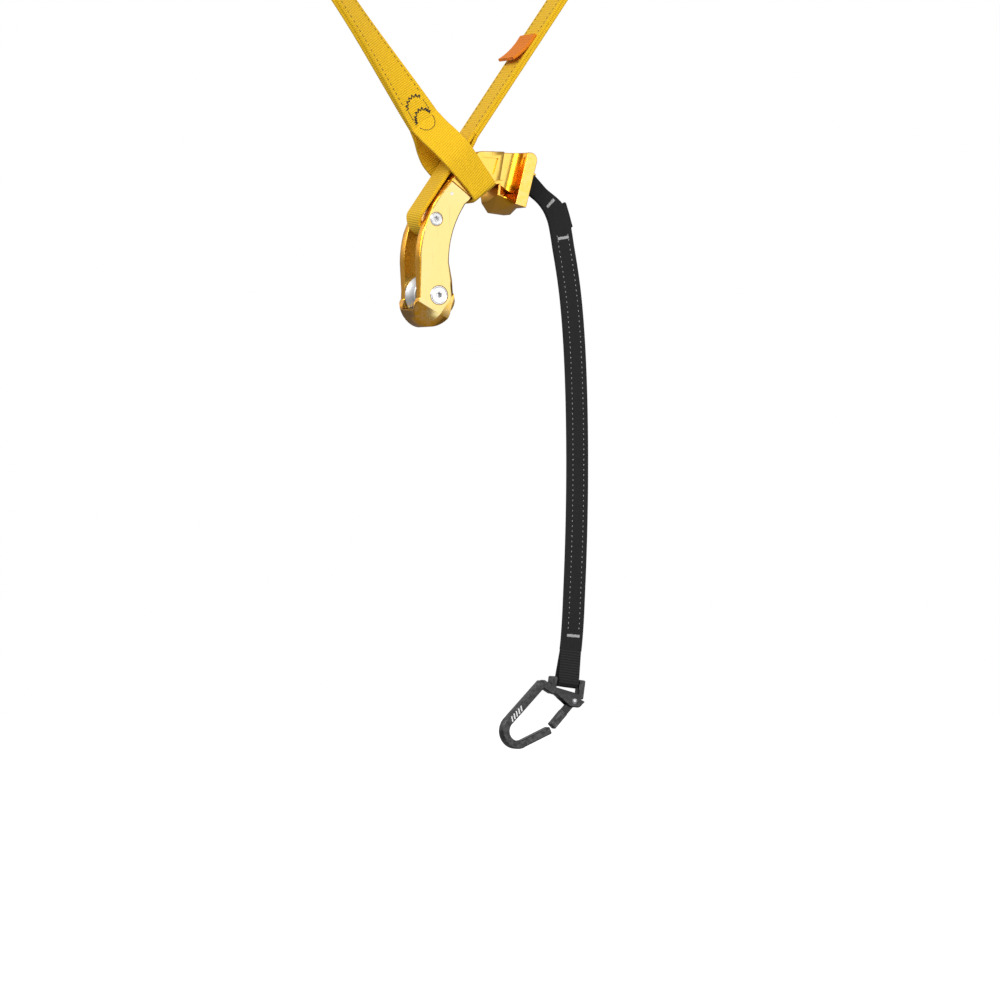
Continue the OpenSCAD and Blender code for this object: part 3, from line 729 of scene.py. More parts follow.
@dataclass
class Strap:
    """A flat strap that follows stations, with metric UV along and across it."""

    stations: list[Station]
    layers: Layers = Layers.ONE
    lengths: list[float] = field(default_factory=list)

    def __post_init__(self) -> None:
        """Measures the length at each station."""
        total = 0.0
        self.lengths = [0.0]
        for before, here in zip(self.stations, self.stations[1:]):
            total += (here.point - before.point).length
            self.lengths.append(total)

    @property
    def length(self) -> float:
        """The strap's length along its middle."""
        return self.lengths[-1]

    @property
    def path(self) -> list[Vector]:
        """The points that the strap follows."""
        return [s.point for s in self.stations]

    def at(self, run: float) -> tuple[Station, Vector]:
        """The station at a length along the strap, and the direction of travel there."""
        run = clamp(run, 0.0, self.length - 1e-9)
        i = max(k for k in range(len(self.lengths) - 1) if self.lengths[k] <= run)
        a, b = self.stations[i], self.stations[i + 1]
        t = (run - self.lengths[i]) / max(1e-9, self.lengths[i + 1] - self.lengths[i])
        mixed = Station(a.point.lerp(b.point, t), a.side.lerp(b.side, t).normalized(),
                        a.face.lerp(b.face, t).normalized(), a.width + (b.width - a.width) * t,
                        a.thick + (b.thick - a.thick) * t)
        return mixed, (b.point - a.point).normalized()

    def surface(self, run: float, across: float, face: int) -> tuple[Vector, Vector, Vector]:
        """A point on the strap's face, in metres along and across, with travel and normal."""
        here, travel = self.at(run)
        a = clamp(2 * across / here.width, -0.965, 0.965)
        return here.place(a, face * 1.03), travel, here.face * face

    def mesh(self) -> bmesh.types.BMesh:
        """Builds the strap by extruding its outline from station to station."""
        outline = strap_outline(self.layers)
        bm = bmesh.new()
        where: dict[bmesh.types.BMVert, tuple[int, int]] = {}
        ring = [bm.verts.new(self.stations[0].place(a, b)) for a, b in outline]
        edges = [bm.edges.new((ring[i], ring[(i + 1) % len(ring)])) for i in range(len(ring))]
        bmesh.ops.contextual_create(bm, geom=edges)
        where.update({v: (0, j) for j, v in enumerate(ring)})
        for i, station in enumerate(self.stations[1:], 1):
            made = bmesh.ops.extrude_edge_only(bm, edges=edges)["geom"]
            for vert in (g for g in made if isinstance(g, bmesh.types.BMVert)):
                j = next(where[e.other_vert(vert)][1] for e in vert.link_edges
                         if where.get(e.other_vert(vert), (-1, 0))[0] == i - 1)
                where[vert] = (i, j)
                vert.co = station.place(*outline[j])
            edges = [g for g in made if isinstance(g, bmesh.types.BMEdge)
                     and all(where[v][0] == i for v in g.verts)]
        bmesh.ops.contextual_create(bm, geom=edges)
        layer = bm.loops.layers.uv.new("UVMap")
        for face in bm.faces:
            for loop in face.loops:
                i, j = where[loop.vert]
                a, b = outline[j]
                edge_run = (1 - b) * self.stations[i].thick / 2 if abs(a) > 0.97 else 0.0
                loop[layer].uv = (a * self.stations[i].width / 2 + math.copysign(edge_run, a),
                                  self.lengths[i])
        return bm


def oriented(points: Sequence[Vector], sides: Sequence[Vector], widths: Sequence[float],
             thick: float) -> list[Station]:
    """Stations along points, with each side turned square to the strap.

    Args:
        points: the strap's middle line.
        sides: the width direction at each point, roughly.
        widths: the width at each point, in metres.
        thick: the strap's thickness, in metres.

    Returns:
        One station for each point.
    """
    result = []
    for i, point in enumerate(points):
        before, after = points[max(0, i - 1)], points[min(len(points) - 1, i + 1)]
        travel = (after - before).normalized()
        side = (sides[i] - travel * sides[i].dot(travel)).normalized()
        result.append(Station(point, side, travel.cross(side), widths[i], thick))
    return result


def curve_through(knots: Sequence[Vector], step: float) -> list[Vector]:
    """A smooth line through knots, with points about a step apart."""
    ends = [knots[0] * 2 - knots[1], *knots, knots[-1] * 2 - knots[-2]]
    line = []
    for a, b, c, d in zip(ends, ends[1:], ends[2:], ends[3:]):
        count = max(1, round((c - b).length / step))
        for k in range(count):
            t = k / count
            line.append(0.5 * ((2 * b) + (c - a) * t + (2 * a - 5 * b + 4 * c - d) * t * t
                               + (3 * b - a - 3 * c + d) * t ** 3))
    return line + [knots[-1]]


def add_stitch(bm: bmesh.types.BMesh, middle: Vector, along: Vector, normal: Vector,
               length: float, radius: float) -> None:
    """Adds one raised stitch, a small lens of thread."""
    side = normal.cross(along).normalized()
    turn = Matrix((along.normalized(), side, normal.normalized())).transposed().to_4x4()
    size = Matrix.Diagonal((length / 2, radius, radius * 0.8, 1))
    bmesh.ops.create_icosphere(bm, subdivisions=1, radius=1.0,
                               matrix=Matrix.Translation(middle) @ turn @ size)


def stitch_row(bm: bmesh.types.BMesh, strap: Strap, start: float, stop: float, across: float,
               face: int, pitch: float = 0.0034, fill: float = 0.62,
               radius: float = 0.00028) -> None:
    """Adds a row of stitches along a strap's face."""
    count = max(1, round((stop - start) / pitch))
    for k in range(count):
        point, travel, normal = strap.surface(start + (k + 0.5) * (stop - start) / count, across,
                                              face)
        add_stitch(bm, point, travel, normal, pitch * fill, radius)


def zigzag(bm: bmesh.types.BMesh, strap: Strap, line: Sequence[tuple[float, float]], swing: float,
           pitch: float, face: int, radius: float = 0.00026) -> None:
    """Adds a zigzag of stitches about a line on a strap's face.

    Args:
        bm: the mesh to add to.
        strap: the strap that is sewn.
        line: run and across positions, in metres.
        swing: the zigzag's half width.
        pitch: distance from one stitch to the next.
        face: 1 or -1.
        radius: the thread's radius.
    """
    flat = [Vector(p) for p in line]
    marks = []
    for a, b in zip(flat, flat[1:]):
        count = max(1, round((b - a).length / pitch))
        across = Vector((-(b - a).y, (b - a).x)).normalized()
        marks += [(a.lerp(b, k / count), across) for k in range(count)]
    turned = [p + n * (swing if k % 2 else -swing) for k, (p, n) in enumerate(marks)]
    for a, b in zip(turned, turned[1:]):
        pa, _, normal = strap.surface(a.x, a.y, face)
        pb, _, _ = strap.surface(b.x, b.y, face)
        add_stitch(bm, (pa + pb) / 2, pb - pa, normal, (pb - pa).length * 1.1, radius)


def arc_line(centre: tuple[float, float], radii: tuple[float, float], start: float, stop: float,
             steps: int = 14) -> list[tuple[float, float]]:
    """Points on part of an ellipse, in degrees."""
    angles = [math.radians(start + (stop - start) * k / steps) for k in range(steps + 1)]
    return [(centre[0] + radii[0] * math.cos(a), centre[1] + radii[1] * math.sin(a))
            for a in angles]


# ---------------------------------------------------------------- studio


@dataclass(frozen=True)
class Studio:
    """Camera, floor and soft lights."""

    yaw_deg: float = -27.0
    distance: float = 3.5
    lens: float = 210.0
    aim: tuple[float, float, float] = (37.9, -19.3, -122.5)
    floor_drop: float = 0.9
    low_light: float = 0.22
    high_light: float = 0.6
    backdrop: float = 1.0

    def build(self) -> None:
        """Makes the camera, floor, world and lamps."""
        self.camera()
        self.floor()
        self.world()
        target = device(20, 0, -60)
        self.lamp("key", (-1.3, -1.6, 1.15), 1.2, 36.0, target)
        self.lamp("face_fill", (0.95, -1.9, 0.1), 1.7, 12.0, target)
        self.lamp("rim", (-1.3, 1.7, 0.9), 1.0, 4.0, target)
        bpy.context.scene.view_settings.view_transform = "Standard"

    def camera(self) -> None:
        """The camera, level, at the chosen yaw."""
        data = bpy.data.cameras.new("camera")
        data.lens = self.lens
        data.sensor_width = 36.0
        data.clip_start = 0.05
        data.clip_end = 60.0
        data.dof.use_dof = False
        camera = bpy.data.objects.new("camera", data)
        bpy.context.scene.collection.objects.link(camera)
        yaw = math.radians(self.yaw_deg)
        back = Vector((math.sin(yaw), -math.cos(yaw), 0))
        camera.location = device(*self.aim) + back * self.distance
        camera.rotation_euler = (-back).to_track_quat("-Z", "Y").to_euler()
        bpy.context.scene.camera = camera

    def floor(self) -> None:
        """A wide pale floor, well under the object."""
        bm = bmesh.new()
        centre = Vector((0, 0, CAD_BOX[0][2] - self.floor_drop))
        bmesh.ops.create_circle(bm, cap_ends=True, segments=96, radius=25.0,
                                matrix=Matrix.Translation(centre))
        mesh = bpy.data.meshes.new("studio_floor")
        bm.to_mesh(mesh)
        bm.free()
        floor = bpy.data.objects.new("studio_floor", mesh)
        bpy.context.scene.collection.objects.link(floor)
        mesh.materials.append(Backdrop("floor_paint", (1.0, 1.0, 1.0), 0.9).build())

    def world(self) -> None:
        """A white surrounding that lights the object softly from above."""
        world = bpy.data.worlds.new("studio")
        world.use_nodes = True
        tree = world.node_tree
        tree.nodes.clear()
        desk = NodeDesk(tree)
        up = desk.add("ShaderNodeSeparateXYZ",
                      {"Vector": desk.add("ShaderNodeTexCoord").outputs["Generated"]})
        height = desk.ramp(up.outputs[2], -0.6, 0.7)
        soft = desk.mix(height, (self.low_light,) * 3 + (1,), (self.high_light,) * 3 + (1,))
        seen = desk.add("ShaderNodeLightPath").outputs["Is Camera Ray"]
        color = desk.mix(seen, soft, (self.backdrop,) * 3 + (1,))
        background = desk.add("ShaderNodeBackground", {"Color": color})
        output = desk.add("ShaderNodeOutputWorld")
        desk.put(output.inputs["Surface"], background.outputs[0])
        bpy.context.scene.world = world

    def lamp(self, name: str, offset: tuple[float, float, float], size: float, power: float,
             target: Vector) -> None:
        """A square soft lamp that faces the target."""
        data = bpy.data.lights.new(name, "AREA")
        data.size = size
        data.energy = power
        lamp = bpy.data.objects.new(name, data)
        bpy.context.scene.collection.objects.link(lamp)
        lamp.location = target + Vector(offset)
        lamp.rotation_euler = (target - lamp.location).to_track_quat("-Z", "Y").to_euler()


# ---------------------------------------------------------------- the sling


@dataclass
class Sling:
    """The yellow webbing: a doubled loop over the limb, with two sewn eyes."""

    width: float = 21.0
    layer: float = 2.1
    limb_centre: tuple[float, float] = (13.0, 236.0)
    limb_r: float = 90.0
    leg_dir: tuple[float, float] = (0.6, -0.8)
    leg_side: tuple[float, float] = (0.8, 0.6)
    neck_join: float = -86.0
    bush_join: float = 58.0
    bush_r: float = 7.0
    bush_at: tuple[float, float] = (-1.75, 45.5)
    eye_width: float = 14.0
    neck_side: float = 14.95
    gather: float = 1.6
    turn: float = 40.0
    settle: float = 0.25
    step: float = 2.5

    def __post_init__(self) -> None:
        """Works out where the two legs touch the limb's circle."""
        self.thick = 2 * self.layer
        self.off = self.layer / 2 + 0.1
        self.line_r = self.limb_r + self.thick / 2
        self.bush_line_r = self.bush_r + 0.3 + self.layer / 2
        cx, cz = self.limb_centre
        self.leg_offset = cx * self.leg_side[0] + cz * self.leg_side[1] - self.line_r
        self.left_tangent = cx * self.leg_dir[0] + cz * self.leg_dir[1]
        reach = Vector(self.limb_centre) - Vector(self.bush_at)
        bend = math.asin((self.bush_line_r - self.off + self.line_r) / reach.length)
        self.tilt = math.atan2(reach.x, reach.y) + bend
        self.right_dir = Vector((math.sin(self.tilt), math.cos(self.tilt)))
        self.right_normal = Vector((math.cos(self.tilt), -math.sin(self.tilt)))
        self.right_start = (Vector(self.bush_at)
                            - self.right_normal * (self.bush_line_r - self.off))
        self.right_len = reach.length * math.cos(bend)

    def left_point(self, run: float) -> Vector:
        """A point on the left leg's line, in the device's plane."""
        return Vector(self.leg_side) * self.leg_offset + Vector(self.leg_dir) * run

    def right_point(self, run: float) -> Vector:
        """A point on the right leg's line, in the device's plane."""
        return self.right_start + self.right_dir * run

    def loop_strap(self) -> Strap:
        """The doubled webbing from the left join, over the limb, to the right join."""
        points, sides = [], []
        span = self.left_tangent - self.neck_join
        count = round(abs(span) / self.step)
        for k in range(count):
            run = self.neck_join + span * k / count
            rest = math.radians(90 - self.turn * math.sin(math.pi / 2 * k / count))
            flat = self.left_point(run)
            points.append(device(flat.x, 0, flat.y))
            sides.append(Vector((self.leg_side[0] * math.sin(rest), math.cos(rest),
                                 self.leg_side[1] * math.sin(rest))))
        start = math.pi + math.atan2(self.leg_side[1], self.leg_side[0])
        count = round((start + self.tilt) * self.line_r / self.step)
        for k in range(count):
            angle = start + (-self.tilt - start) * k / count
            points.append(device(self.limb_centre[0] + self.line_r * math.cos(angle), 0,
                                 self.limb_centre[1] + self.line_r * math.sin(angle)))
            rest = math.radians(90 - self.turn) * (1 - ease(k / count / self.settle))
            sides.append(Vector((-math.cos(angle) * math.sin(rest), math.cos(rest),
                                 -math.sin(angle) * math.sin(rest))))
        span = self.bush_join - self.right_len
        count = round(abs(span) / self.step)
        for k in range(count + 1):
            flat = self.right_point(self.right_len + span * k / count)
            points.append(device(flat.x, 0, flat.y))
            sides.append(DEPTH)
        return Strap(oriented(points, sides, [self.width * MM] * len(points), self.thick * MM),
                     Layers.TWO)

    def bush_eye_strap(self) -> Strap:
        """The single layer that goes down, round the bush and back."""
        centre = Vector(self.bush_at)
        join = self.right_point(self.bush_join) - centre
        ends = [join - self.right_normal * self.off, join + self.right_normal * self.off]
        turns = [math.acos(self.bush_line_r / e.length) * s for e, s in zip(ends, (1, -1))]
        start = math.atan2(ends[0].y, ends[0].x) + turns[0]
        stop = math.atan2(ends[1].y, ends[1].x) + turns[1] + 2 * math.pi
        on = [Vector((math.cos(a), math.sin(a))) * self.bush_line_r
              for a in (start + (stop - start) * k / 24 for k in range(25))]
        down = [ends[0].lerp(on[0], k / 12) for k in range(12)]
        up = [on[-1].lerp(ends[1], k / 12) for k in range(1, 13)]
        flats = down + on + up
        points = [device(centre.x + f.x, 0, centre.y + f.y) for f in flats]
        full = self.width - 1
        widths = [full] * len(down)
        widths += [full + (self.eye_width - full) * ease(k / 8) for k in range(len(on))]
        widths += [self.eye_width + (full - self.eye_width) * ease((f.length - 48) / 9.5)
                   for f in up]
        widths = [w * MM for w in widths]
        return Strap(oriented(points, [DEPTH] * len(points), widths, self.layer * MM))

    def neck_eye_strap(self) -> Strap:
        """The single layer that wraps the frame's neck."""
        half = [(self.neck_join, self.off), (-78, 5), (-70, 10.5), (-62, 14.2),
                (-56, self.neck_side), (-48, self.neck_side), (-40, self.neck_side),
                (-34.2, self.neck_side), (-32.7, 14.6), (-31.7, 13.4), (-31.3, 11), (-31.1, 5)]
        knots = half + [(-31.1, 0)] + [(r, -y) for r, y in reversed(half)]
        places = []
        for run, y in knots:
            flat = self.left_point(run) + Vector(self.leg_side) * self.gather * self.foot(run)
            places.append(device(flat.x, -y, flat.y))
        points = curve_through(places, self.step * MM * 0.7)
        side = Vector((self.leg_side[0], 0, self.leg_side[1]))
        down = Vector((self.leg_dir[0], 0, self.leg_dir[1]))
        widths = [(self.width - 2 * self.gather * self.foot((p - AXLE).dot(down) / MM)) * MM
                  for p in points]
        return Strap(oriented(points, [side] * len(points), widths, self.layer * MM))

    def foot(self, run: float) -> float:
        """How far the neck band is gathered at a distance along the left leg, from 0 to 1."""
        return ease((run + 66) / 30)

    def flap_strap(self) -> Strap:
        """The folded end of the pocket, which stands off the right leg."""
        off = self.thick / 2 + 0.9
        knots = []
        for run, out in ((132, off), (126, off), (121, off + 0.6), (116, off + 1.8),
                         (111, off + 3.6)):
            flat = self.right_point(run) - self.right_normal * out
            knots.append(device(flat.x, 0, flat.y))
        points = curve_through(knots, 0.0015)
        return Strap(oriented(points, [DEPTH] * len(points), [(self.width - 1) * MM] * len(points),
                              1.8 * MM))

    def stitching(self, loop: Strap, neck: Strap) -> bmesh.types.BMesh:
        """Edge stitches along the legs and the curved bar tacks."""
        bm = bmesh.new()
        inset = self.width / 2 * MM - 0.0026
        for face in (-1, 1):
            for side in (-1, 1):
                stitch_row(bm, loop, 0.016, loop.length - 0.004, side * inset, face)
        for face in (-1, 1):
            bold = [arc_line((0.0112, 0), (0.0055, 0.0066), -82, 82),
                    arc_line((0.0006, 0), (0.0071, 0.006), -82, 82)]
            for line in bold:
                zigzag(bm, loop, line, 0.0012, 0.0009, face, 0.00048)
            for side in (-1, 1):
                zigzag(bm, loop, [(0.0112, side * 0.0066), (0.003, side * 0.0066)], 0.0001,
                       0.0016, face, 0.0003)
            if neck.surface(0.002, 0, face)[2].y < 0:
                low = [(0.0002 - run, across)
                       for run, across in arc_line((0.0006, 0), (0.0071, 0.006), 96, 264)]
                zigzag(bm, neck, low, 0.0002, 0.0014, face, 0.0003)
        return bm

    def build(self) -> list[bpy.types.Object]:
        loop, neck = self.loop_strap(), self.neck_eye_strap()
        pieces = []
        body = finish_piece("sling_loop", loop.mesh(), YELLOW_WEB, Body.FRAME)
        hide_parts("sling_webbing")
        for name, node, strap, finish in (
                ("sling_bush_loop", "sling_bush_eye", self.bush_eye_strap(), YELLOW_WEB),
                ("sling_neck_loop", "sling_neck_eye", neck, YELLOW_WEB),
                ("sling_flap", "sling_pocket_flap", self.flap_strap(), ORANGE_WEB)):
            piece = finish_piece(name, strap.mesh(), finish, Body.FRAME)
            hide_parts(node)
            pieces.append(piece)
        thread = finish_piece("sling_stitching", self.stitching(loop, neck), DARK_THREAD, Body.FRAME,
                              180)
        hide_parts("sling_bartacks")
        pieces.append(thread)
        return [body, *pieces]


# ---------------------------------------------------------------- the retrieval strap


@dataclass
class RetrievalStrap:
    """The black strap: from the head's lug to the small carabiner."""

    plane: float = 10.0
    width: float = 14.0
    eye_width: float = 10.0
    layer: float = 1.5
    lug: tuple[float, float] = (70.4, 71.4)
    lug_bar_r: float = 2.5
    clip: tuple[float, float] = (98.4, -233.0)
    clip_bar_r: float = 2.0
    route: tuple[tuple[float, float], ...] = (
        (80.4, 63), (84, 60), (87.2, 57), (90, 53.6), (92.2, 49.5), (93.6, 44.5), (94.8, 38.5),
        (96, 31.5), (97.8, 22), (99.8, 10), (101.6, -4), (103.2, -22), (104.4, -42),
        (105.2, -64), (105.6, -88), (105.6, -112), (105.2, -136), (104.5, -158), (103.6, -178),
        (102.8, -194), (101.8, -207), (101, -214.2))

    def in_plane(self, x: float, z: float, y: float = 0.0) -> Vector:
        """A point of the strap's plane, or off it by y."""
        return device(x, self.plane + y, z)

    def main_strap(self) -> Strap:
        """The doubled webbing between the two eyes."""
        points = curve_through([self.in_plane(*p) for p in self.route], 0.002)
        sides, widths, run = [], [], 0.0
        for i, point in enumerate(points):
            travel = points[min(i + 1, len(points) - 1)] - points[max(i - 1, 0)]
            sides.append(Vector((travel.z, 0, -travel.x)))
            run += (point - points[max(i - 1, 0)]).length
            widths.append((self.eye_width + (self.width - self.eye_width) * ease(run / 0.018))
                          * MM)
        return Strap(oriented(points, sides, widths, 2 * self.layer * MM), Layers.TWO)

    def eye(self, at: tuple[float, float], toward: tuple[float, float], bar_r: float,
            width: float) -> Strap:
        """One layer of strap about a bar.

        Args:
            at: the bar's centre, in the strap's plane.
            toward: where the eye joins the doubled strap.
            bar_r: the bar's radius.
            width: the strap's width there.

        Returns:
            The eye's strap.
        """
        centre, join = Vector(at), Vector(toward)
        out = (join - centre).normalized()
        reach = (join - centre).length
        radius = bar_r + 0.2 + self.layer / 2
        off = self.layer / 2 + 0.05
        start = math.atan2(off, reach) + math.acos(radius / math.hypot(reach, off))
        on = [(radius * math.cos(a), radius * math.sin(a))
              for a in (start + (2 * math.pi - 2 * start) * k / 20 for k in range(21))]
        end = (reach, off)
        down = [(end[0] + (on[0][0] - end[0]) * k / 6, end[1] + (on[0][1] - end[1]) * k / 6)
                for k in range(6)]
        flats = down + on + [(u, -v) for u, v in reversed(down)]
        points = [self.in_plane(at[0] + out.x * u, at[1] + out.y * u, v) for u, v in flats]
        side = Vector((out.y, 0, -out.x))
        return Strap(oriented(points, [side] * len(points), [width * MM] * len(points),
                              self.layer * MM))

    def pocket_strap(self) -> Strap:
        """The small folded pocket behind the bend."""
        knots = [self.in_plane(x, z, y) for x, z, y in
                 ((93.5, 56.5, 2.1), (95.2, 53, 3.0), (96.6, 49.5, 3.4), (97.4, 46, 3.0),
                  (97.9, 43, 2.2))]
        points = curve_through(knots, 0.001)
        side = Vector((1, 0, 0.3))
        return Strap(oriented(points, [side] * len(points), [11.0 * MM] * len(points), 2.2 * MM),
                     Layers.TWO)

    def stitching(self, main: Strap) -> bmesh.types.BMesh:
        """Two grey rows along the strap, and dense bars of thread at its ends."""
        bm = bmesh.new()
        for face in (-1, 1):
            for side in (-1, 1):
                stitch_row(bm, main, 0.028, main.length - 0.012, side * 0.0037, face,
                           pitch=0.0031, fill=0.45, radius=0.00022)
            for run, reach in ((0.008, 0.0036), (0.031, 0.004), (main.length - 0.009, 0.0045)):
                for shift in (-0.0005, 0.0, 0.0005):
                    line = [(run + shift, -reach), (run + shift, reach)]
                    zigzag(bm, main, line, 0.0005, 0.00042, face, 0.00024)
        return bm

    def build(self) -> list[bpy.types.Object]:
        """Makes the strap's pieces."""
        main = self.main_strap()
        body = finish_piece("retrieval_strap_body", main.mesh(), BLACK_WEB, Body.STRAP)
        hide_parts("retrieval_webbing")
        pieces = []
        for name, node, finish, strap in (
                ("retrieval_lug_loop", "retrieval_top_eye", BLACK_WEB,
                 self.eye(self.lug, self.route[0], self.lug_bar_r, self.eye_width)),
                ("retrieval_fold", "retrieval_pocket", BLACK_WEB, self.pocket_strap()),
                ("retrieval_clip_loop", "retrieval_lower_eye", RIBBED_BLACK,
                 self.eye(self.clip, self.route[-1], self.clip_bar_r, self.width - 0.5))):
            piece = finish_piece(name, strap.mesh(), finish, Body.STRAP)
            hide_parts(node)
            pieces.append(piece)
        thread = finish_piece("retrieval_stitching", self.stitching(main), GREY_THREAD, Body.STRAP,
                              180)
        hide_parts("retrieval_bartacks")
        self.pieces = [*pieces, thread]
        self.body = body
        self.main = main
        return [body, *self.pieces]


# ---------------------------------------------------------------- metal


@dataclass
class Frame:
    """The gold frame and its loose cheek."""

    rim: float = 0.0019
    other: float = 0.0005
    half_depth: float = 0.0135
    head_depth: float = 0.003
    nut_depth: float = 0.004
    nose_from: float = 2.0
    pocket_depth: float = 0.0012
    pocket: tuple[tuple[float, float], ...] = ((29, 83.4), (39.8, 82.9), (36.8, 73.4), (31, 72.4))
    seam_from: tuple[float, float] = (17.5, 62.1)
    seam_to: tuple[float, float] = (9.6, 67.9)

    def sharp_rim(self, point: Vector) -> bool:
        """Whether a rim edge lies on the seam or on the head, where it stays crisp."""
        flat = (point - AXLE) / MM
        start, stop = Vector(self.seam_from), Vector(self.seam_to)
        line = (stop - start).normalized()
        away = Vector((flat.x, flat.z)) - start
        on_seam = abs(line.x * away.y - line.y * away.x) < 1.2
        return on_seam or flat.x > 26.0

    def keep_edge(self, point: Vector) -> bool:
        """Whether an edge is on the nose, or where the web flares: these are not rounded."""
        flat = (point - AXLE) / MM
        flare = 38.0 < flat.x < 50.0 and flat.z > 60.0 and abs(flat.y) > 9.0
        return flare or flat.z < self.nose_from

    def build(self) -> list[bpy.types.Object]:
        """Makes the frame's two metal pieces from their CAD shapes."""
        dowel = sum((Vector(c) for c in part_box("cheek_dowel")), Vector()) / 2
        pocket = tuple(device(x, 0, z) for x, z in self.pocket)
        middle = sum(pocket, Vector()) / len(pocket)
        plugs = ((AXLE, 0.0064), (BOLT, 0.005), (dowel, 0.0022), (middle, 0.0079))
        rounding = Rounding(self.rim, self.other, self.half_depth - 0.0001, self.sharp_rim,
                            self.keep_edge)
        front, back = -self.half_depth - 0.001, self.half_depth + 0.001
        head = -self.half_depth + self.head_depth
        nut = self.half_depth - self.nut_depth
        cheek_cuts = (Cut.bore(AXLE, 0.00595, front, head), Cut.bore(BOLT, 0.0043, front, head))
        body_cuts = (Cut.bore(AXLE, 0.00595, nut, back), Cut.bore(BOLT, 0.0048, nut, back),
                     Cut(pocket, front, -self.half_depth + self.pocket_depth))
        return [
            from_node("frame_body", "frame_casting", GOLD, Body.FRAME,
                      rounding, plugs, body_cuts),
            from_node("front_cheek", "front_cheek_plate", GOLD_FACE, Body.FRAME,
                      rounding, plugs[:3], cheek_cuts)]


@dataclass
class SheaveSet:
    """The sheave, with its bearings and washers."""

    outer_r: float = 13.0
    root_r: float = 9.5
    bore_r: float = 7.0
    half_w: float = 6.7
    rim: float = 1.2

    def build(self) -> list[bpy.types.Object]:
        """Turns the sheave and dresses the bearings."""
        groove = []
        for k in range(1, 24):
            s = k / 24
            groove.append((self.outer_r - (self.outer_r - self.root_r) * math.sin(math.pi * s),
                           (2 * s - 1) * (self.half_w - self.rim)))
        chamfer = 0.35
        side = [(self.bore_r, -self.half_w), (self.outer_r - chamfer, -self.half_w),
                (self.outer_r, -self.half_w + chamfer), (self.outer_r, -self.half_w + self.rim)]
        profile = side + groove + [(r, -y) for r, y in reversed(side)]
        sheave = finish_piece("rope_sheave", lathe(profile, AXLE, 96), SHEAVE_METAL, Body.SHEAVE)
        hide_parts("sheave")
        for node in ("bearing_outer_rings", "bearing_inner_rings", "bearing_balls",
                     "bearing_shields", "sheave_washers"):
            dress_node(node, AXLE_STEEL)
        return [sheave]


@dataclass
class CapBolt:
    """A flush cap bolt with a hexagonal recess, drawn on its own axis."""

    name: str
    node: str
    finish: Finish
    head_r: float
    shank_r: float
    hex_r: float = 1.75
    recess: float = 2.2
    head: float = 3.0
    ring_r: float = 0.62

    def build(self) -> bpy.types.Object:
        """Turns the bolt and sinks its recess."""
        low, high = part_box(self.node)
        centre = (low + high) / 2
        front = -(high.y - low.y) / 2 / MM
        end = -front
        crown = self.head_r * self.ring_r
        profile = [(self.hex_r * 1.25, front - 0.05), (crown, front - 0.12),
                   (crown + 0.25, front + 0.12), (crown + 0.5, front - 0.02),
                   (self.head_r - 0.45, front), (self.head_r - 0.05, front + 0.35),
                   (self.head_r - 0.05, front + self.head), (self.shank_r, front + self.head),
                   (self.shank_r, end - 0.5), (self.shank_r - 0.5, end)]
        bm = bmesh.new()
        rows = [bm.verts.new(centre + Vector((r, y, 0)) * MM) for r, y in profile]
        edges = [bm.edges.new(pair) for pair in zip(rows, rows[1:])]
        bmesh.ops.spin(bm, geom=rows + edges, cent=centre, axis=DEPTH, angle=2 * math.pi,
                       steps=60, use_merge=True)
        bmesh.ops.remove_doubles(bm, verts=bm.verts[:], dist=0.000002)
        rims = [e for e in bm.edges if e.is_boundary]
        back = [e for e in rims if e.verts[0].co.y > centre.y]
        bmesh.ops.contextual_create(bm, geom=back)
        mouth = [e for e in rims if e.verts[0].co.y < centre.y]
        self.socket(bm, mouth, centre, front)
        piece = finish_piece(self.name, bm, self.finish, Body.FRAME, 30)
        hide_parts(self.node)
        return piece

    def socket(self, bm: bmesh.types.BMesh, mouth: list, centre: Vector, front: float) -> None:
        """Bridges the head's inner rim to a hexagonal recess."""
        turn = Matrix.Rotation(math.radians(90), 4, "X")
        spot = centre + Vector((0, front + 0.1, 0)) * MM
        made = bmesh.ops.create_circle(bm, cap_ends=False, segments=60, radius=self.hex_r * MM,
                                       matrix=Matrix.Translation(spot) @ turn)["verts"]
        flat = self.hex_r * math.cos(math.radians(30)) * MM
        for vert in made:
            out = vert.co - spot
            angle = (math.atan2(out.z, out.x) + math.radians(30)) % math.radians(60)
            reach = flat / math.cos(angle - math.radians(30))
            vert.co = spot + out.normalized() * min(reach, self.hex_r * MM)
        rim = list({e for v in made for e in v.link_edges})
        bmesh.ops.bridge_loops(bm, edges=mouth + rim)
        sunk = bmesh.ops.extrude_edge_only(bm, edges=rim)["geom"]
        floor = [g for g in sunk if isinstance(g, bmesh.types.BMVert)]
        bmesh.ops.translate(bm, verts=floor, vec=Vector((0, self.recess * MM, 0)))
        ends = [g for g in sunk if isinstance(g, bmesh.types.BMEdge)
                and g.verts[0] in floor and g.verts[1] in floor]
        bmesh.ops.contextual_create(bm, geom=ends)


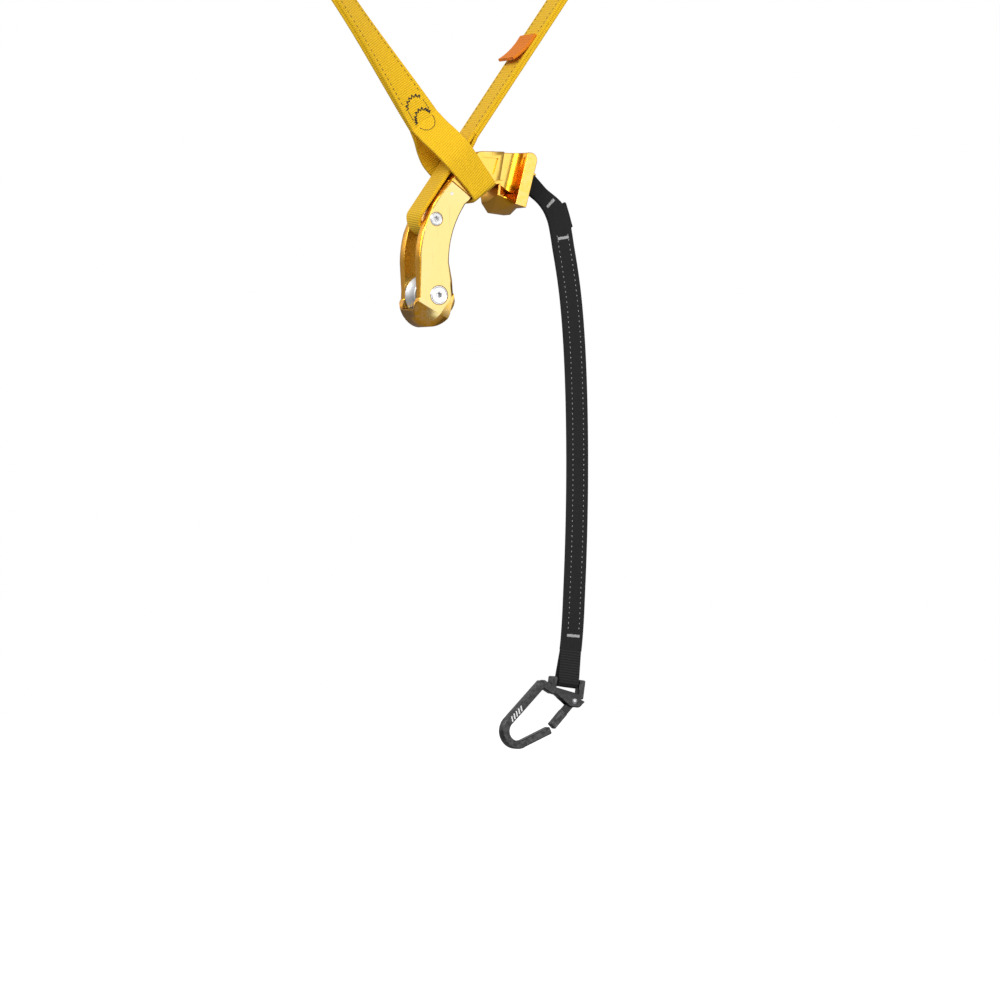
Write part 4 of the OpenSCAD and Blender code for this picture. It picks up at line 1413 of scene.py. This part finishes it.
@dataclass
class Fasteners:
    """Bolts, nuts, bush and dowel."""

    def build(self) -> list[bpy.types.Object]:
        """Makes the two bolts and the dowel, and dresses the rest."""
        pieces = [CapBolt("axle_cap_bolt", "axle_bolt", AXLE_STEEL, 5.9, 3.0, ring_r=0.78).build(),
                  CapBolt("strap_cap_bolt", "strap_bolt", BOLT_STEEL, 4.25, 2.5, hex_r=1.6,
                          ring_r=0.74).build()]
        low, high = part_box("cheek_dowel")
        centre = (low + high) / 2
        radius = (high.x - low.x) / 2 / MM
        half = (high.y - low.y) / 2 / MM
        profile = [(0.0, -half - 0.05), (radius * 0.6, -half), (radius - 0.15, -half + 0.2),
                   (radius - 0.05, -half + 0.5), (radius - 0.05, half), (0.0, half)]
        dowel = finish_piece("dowel", lathe(profile, centre, 40), BOLT_STEEL, Body.FRAME,
                             40)
        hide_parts("cheek_dowel")
        for node in ("axle_nut", "strap_bolt_nut"):
            dress_node(node, BOLT_STEEL)
        dress_node("strap_bush", BOLT_STEEL)
        return [*pieces, dowel]


@dataclass
class Carabiner:
    """The small black carabiner, its gate, rivet and printed stripes."""

    plane: float = 10.0
    half_t: float = 3.0
    spine_top: tuple[float, float] = (81.0, -234.0)
    spine_low: tuple[float, float] = (58.2, -256.5)

    def stripes(self) -> bmesh.types.BMesh:
        """Five slanted stripes on the spine's face."""
        bm = bmesh.new()
        low, top = Vector(self.spine_low), Vector(self.spine_top)
        along = (top - low).normalized()
        lean = (along + Vector((-along.y, along.x)) * 1.6).normalized()
        for k in range(5):
            middle = low + along * (2.0 + 2.2 * k)
            spot = device(middle.x, self.plane - self.half_t - 0.02, middle.y)
            turn = Matrix((Vector((lean.x, 0, lean.y)), -DEPTH,
                           Vector((-lean.y, 0, lean.x)))).transposed().to_4x4()
            size = Matrix.Diagonal((3.4 * MM, 0.06 * MM, 0.9 * MM, 1))
            bmesh.ops.create_cube(bm, size=1.0, matrix=Matrix.Translation(spot) @ turn @ size)
        return bm

    def build(self) -> list[bpy.types.Object]:
        """Makes the carabiner's pieces."""
        body = from_node("carabiner_body", "carabiner_hook", BLACK_METAL, Body.CARABINER,
                         Rounding(0.0, 0.0008), ((PIVOT, 0.0018),))
        gate = from_node("carabiner_gate", "carabiner_gate_arm", BLACK_METAL, Body.GATE,
                         Rounding(0.0, 0.0005), ((PIVOT, 0.0018),))
        low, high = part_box("gate_rivet")
        centre = (low + high) / 2
        radius = (high.x - low.x) / 2 / MM
        half = (high.y - low.y) / 2 / MM
        side = [(0.0, -half - 0.25), (radius * 0.55, -half - 0.12), (radius * 1.1, -half + 0.25),
                (radius - 0.02, -half + 0.42)]
        profile = side + [(r, -y) for r, y in reversed(side)]
        rivet = finish_piece("gate_pin", lathe(profile, centre, 40), PLAIN_STEEL, Body.CARABINER,
                             50)
        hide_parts("gate_rivet")
        stripes = finish_piece("spine_stripes", self.stripes(), WHITE_PRINT, Body.CARABINER,
                               30)
        dress_node("gate_spring", PLAIN_STEEL)
        return [body, gate, rivet, stripes]


def main() -> None:
    """Builds the studio and every sub-assembly, and reports each piece."""
    logging.basicConfig(level=logging.INFO, format="%(name)s: %(message)s")
    Studio().build()
    strap = RetrievalStrap()
    made: dict[str, Iterable[bpy.types.Object]] = {"retrieval strap": strap.build(),
                                                   "sling": Sling().build()}
    carabiner = Carabiner().build()
    made["carabiner"] = carabiner
    made["frame"] = Frame().build()
    made["sheave"] = SheaveSet().build()
    made["fasteners"] = Fasteners().build()
    for part, pieces in made.items():
        for piece in pieces:
            LOG.info("%s: %s, %d faces", part, piece.name, len(piece.data.polygons))
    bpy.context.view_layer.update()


if __name__ == "__main__":
    main()
